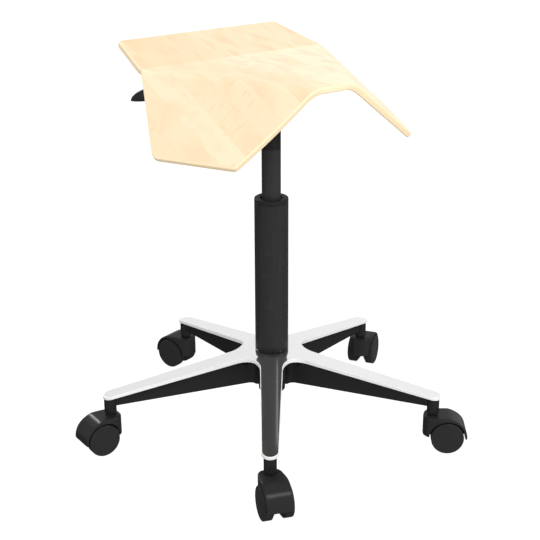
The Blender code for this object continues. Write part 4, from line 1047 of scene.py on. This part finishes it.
def plate_sheet():
    """A square with round corners, shrunk and raised along a rounded edge, and closed in the middle."""
    half = PLATE_HALF
    square = ((0, -half), (half, -half), (half, half), (-half, half), (-half, -half), (0, -half))
    outline = filled(softened(square, PLATE_CORNER, 8), 0.008)
    turn = np.linspace(0, np.pi / 2, 5)
    fall, swell = PLATE_EDGE * (1 - np.sin(turn)), PLATE_EDGE * (1 - np.cos(turn))
    inset = join([half, PLATE_RING], fall, swell, [PLATE_RING, half])
    upper = PLATE_TOP - PLATE_BOTTOM - fall
    rise = join([0, 0], swell, upper, [upper[-1]] * 2)
    ring = outline * (1 - inset / half)[:, None, None]
    return sheet(np.concatenate([ring, PLATE_BOTTOM + rise[:, None, None] + 0 * ring[..., :1]], -1))


plate_skin = placed(plate_sheet(), LEVER_TURN)
make_piece("seat_plate_skin", [plate_skin], [frame_coat], "seat", ["seat_plate"])


# %% Bolts
BOLT_PLACE, BOLT_RADIUS, HEX_HALF = 0.037, 0.003, 0.0021
BOLT_HEAD, BOLT_HEAD_HEIGHT = 0.005, 0.004


def bolt_sheet():
    """Shank and head turned about Z. The rings of the socket have a hexagon's radius at each angle."""
    head = PLATE_BOTTOM - GAP
    low = head - BOLT_HEAD_HEIGHT
    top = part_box("seat_bolt_1")[1].z
    thread = (0, top), (BOLT_RADIUS, top), (BOLT_RADIUS, head)
    collar = (BOLT_HEAD, head), (BOLT_HEAD, low), (0.0026, low)
    shank = softened(thread + collar, 0.0005, 4)
    angle = np.linspace(0, 2 * np.pi, 49)
    hexagon = HEX_HALF / np.cos((angle % (np.pi / 3)) - np.pi / 6)
    radius = join(shank[:, :1] + 0 * angle, [hexagon, hexagon * 0.96, hexagon * 0.9, 0 * angle])
    level = join(shank[:, 1], (low, low + 0.0003, low + 0.0021, low + 0.0024))[:, None]
    return sheet(np.stack([radius * np.cos(angle), radius * np.sin(angle), level + 0 * radius], -1))


for number, (x, y) in enumerate(((1, 1), (-1, 1), (-1, -1), (1, -1)), 1):
    bolt = placed(placed(bolt_sheet(), 0, (BOLT_PLACE * x, BOLT_PLACE * y, 0)), LEVER_TURN)
    node = f"seat_bolt_{number}"
    make_piece(f"socket_bolt_{number}", [bolt], [zinc_steel], "seat", [node], 35)

# %% [markdown]
# ## Finishes for the solids that stay
# Pins, rod, bearing and housing are already the right shape as solids, and most of them hide inside.
# They keep their meshes and take the finishes made above, chosen by the slot each one already names.

# %% Solids that stay
SLOT_FINISHES = {
    "pale_veneer": face_veneer,
    "polished_aluminium": cover_metal,
    "black_coated_steel": frame_coat,
    "black_plastic": grip_plastic,
    "bright_steel": zinc_steel,
    "black_rubber": black_rubber,
}
kept = sorted(name for name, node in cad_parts.items() if not node.hide_render)
for name in kept:
    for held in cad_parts[name].material_slots:
        held.material = SLOT_FINISHES[held.material.name.split(".")[0]]
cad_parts["lever_bar"].material_slots[0].material = frame_coat
print("solids kept:", ", ".join(kept))

# %% [markdown]
# ## Floor and light
# The stool stands in a white studio, where the floor runs on without a horizon and shadows all but vanish.
# The floor glows, and only the camera sees it.
# The metal mirrors the room: pale walls, brighter on the right, a dimmer ceiling, and dark ground behind.
# Four softboxes light the seat and draw the bright lines along hoods and rims.

# %% Floor
FLOOR_REACH, FLOOR_LINES = 14, 9
reach = np.linspace(-FLOOR_REACH, FLOOR_REACH, FLOOR_LINES)
floor_x, floor_y = np.meshgrid(reach, reach, indexing="ij")
floor_mesh = bpy.data.meshes.new("studio_floor")
floor_points = np.stack([floor_x, floor_y, 0 * floor_x], -1).reshape(-1, 3)
floor_quads = grid_quads(FLOOR_LINES, FLOOR_LINES)[:, ::-1]
floor_mesh.from_pydata(floor_points.tolist(), [], floor_quads.tolist())
floor_finish, _, floor_feed = new_finish("floor_finish", Base_Color=(0.12, 0.12, 0.12, 1), Roughness=0.8)
floor_feed(Emission_Color=(1, 1, 1, 1), Emission_Strength=0.97, Specular_IOR_Level=0.0)
floor_mesh.materials.append(floor_finish)
floor = added("studio_floor", floor_mesh)
floor.visible_diffuse = False
floor.visible_glossy = False
print("floor:", len(floor_mesh.polygons), "faces")


# %% Light
AIM_HEIGHT = 0.3
RIGHTWARD, FORWARD = (0.816, -0.578, 0.0), (-0.578, -0.816, 0.0)
CEILING, GROUND = np.sin(np.radians((28, 52))), np.sin(np.radians((-14, -5)))
WALL_LIGHT, CEILING_DIM, RIGHT_GAIN, GROUND_DIM = 0.89, 0.10, 0.14, 0.70


def softbox(name, azimuth, elevation, distance, size, power):
    """An area light of some width and height on a sphere round the stool, facing its middle."""
    turn, rise = math.radians(azimuth), math.radians(elevation)
    light = bpy.data.lights.new(name, "AREA")
    light.shape = "RECTANGLE"
    light.size, light.size_y = size
    light.energy = power
    made = added(name, light)
    flat = distance * math.cos(rise)
    made.location = (flat * math.cos(turn), flat * math.sin(turn), AIM_HEIGHT + distance * math.sin(rise))
    made.rotation_euler = (math.pi / 2 - rise, 0, turn + math.pi / 2)


world = bpy.data.worlds.new("studio_room")
world.use_nodes = True
toward = Wire(world.node_tree).node("TexCoord", out="Generated")
height = toward.part("Z")
sides = toward.vector("DOT_PRODUCT", RIGHTWARD, "Value")
front = toward.vector("DOT_PRODUCT", FORWARD, "Value")
ceiling = height.step(*CEILING)
ground = 1.0 - height.step(*GROUND)
behind = 1.0 - front.step(-0.20, 0.50)
walls = WALL_LIGHT - ceiling * CEILING_DIM + sides * RIGHT_GAIN - ground * behind * GROUND_DIM
backdrop = world.node_tree.nodes["Background"]
plug(backdrop.inputs["Strength"], walls)
plug(backdrop.inputs["Color"], (1, 1, 1, 1))
bpy.context.scene.world = world
softbox("key_softbox", -60, 20, 3.0, (0.8, 0.8), 30)
softbox("left_softbox", -160, 25, 3.2, (1.4, 1.4), 29)
softbox("back_softbox", 93, 32, 3.0, (0.5, 0.4), 28)
softbox("strip_softbox", -88, 51, 3.0, (0.40, 0.85), 20)
bpy.context.scene.view_settings.view_transform = "Standard"
print("light: pale walls, dimmer ceiling and four softboxes")
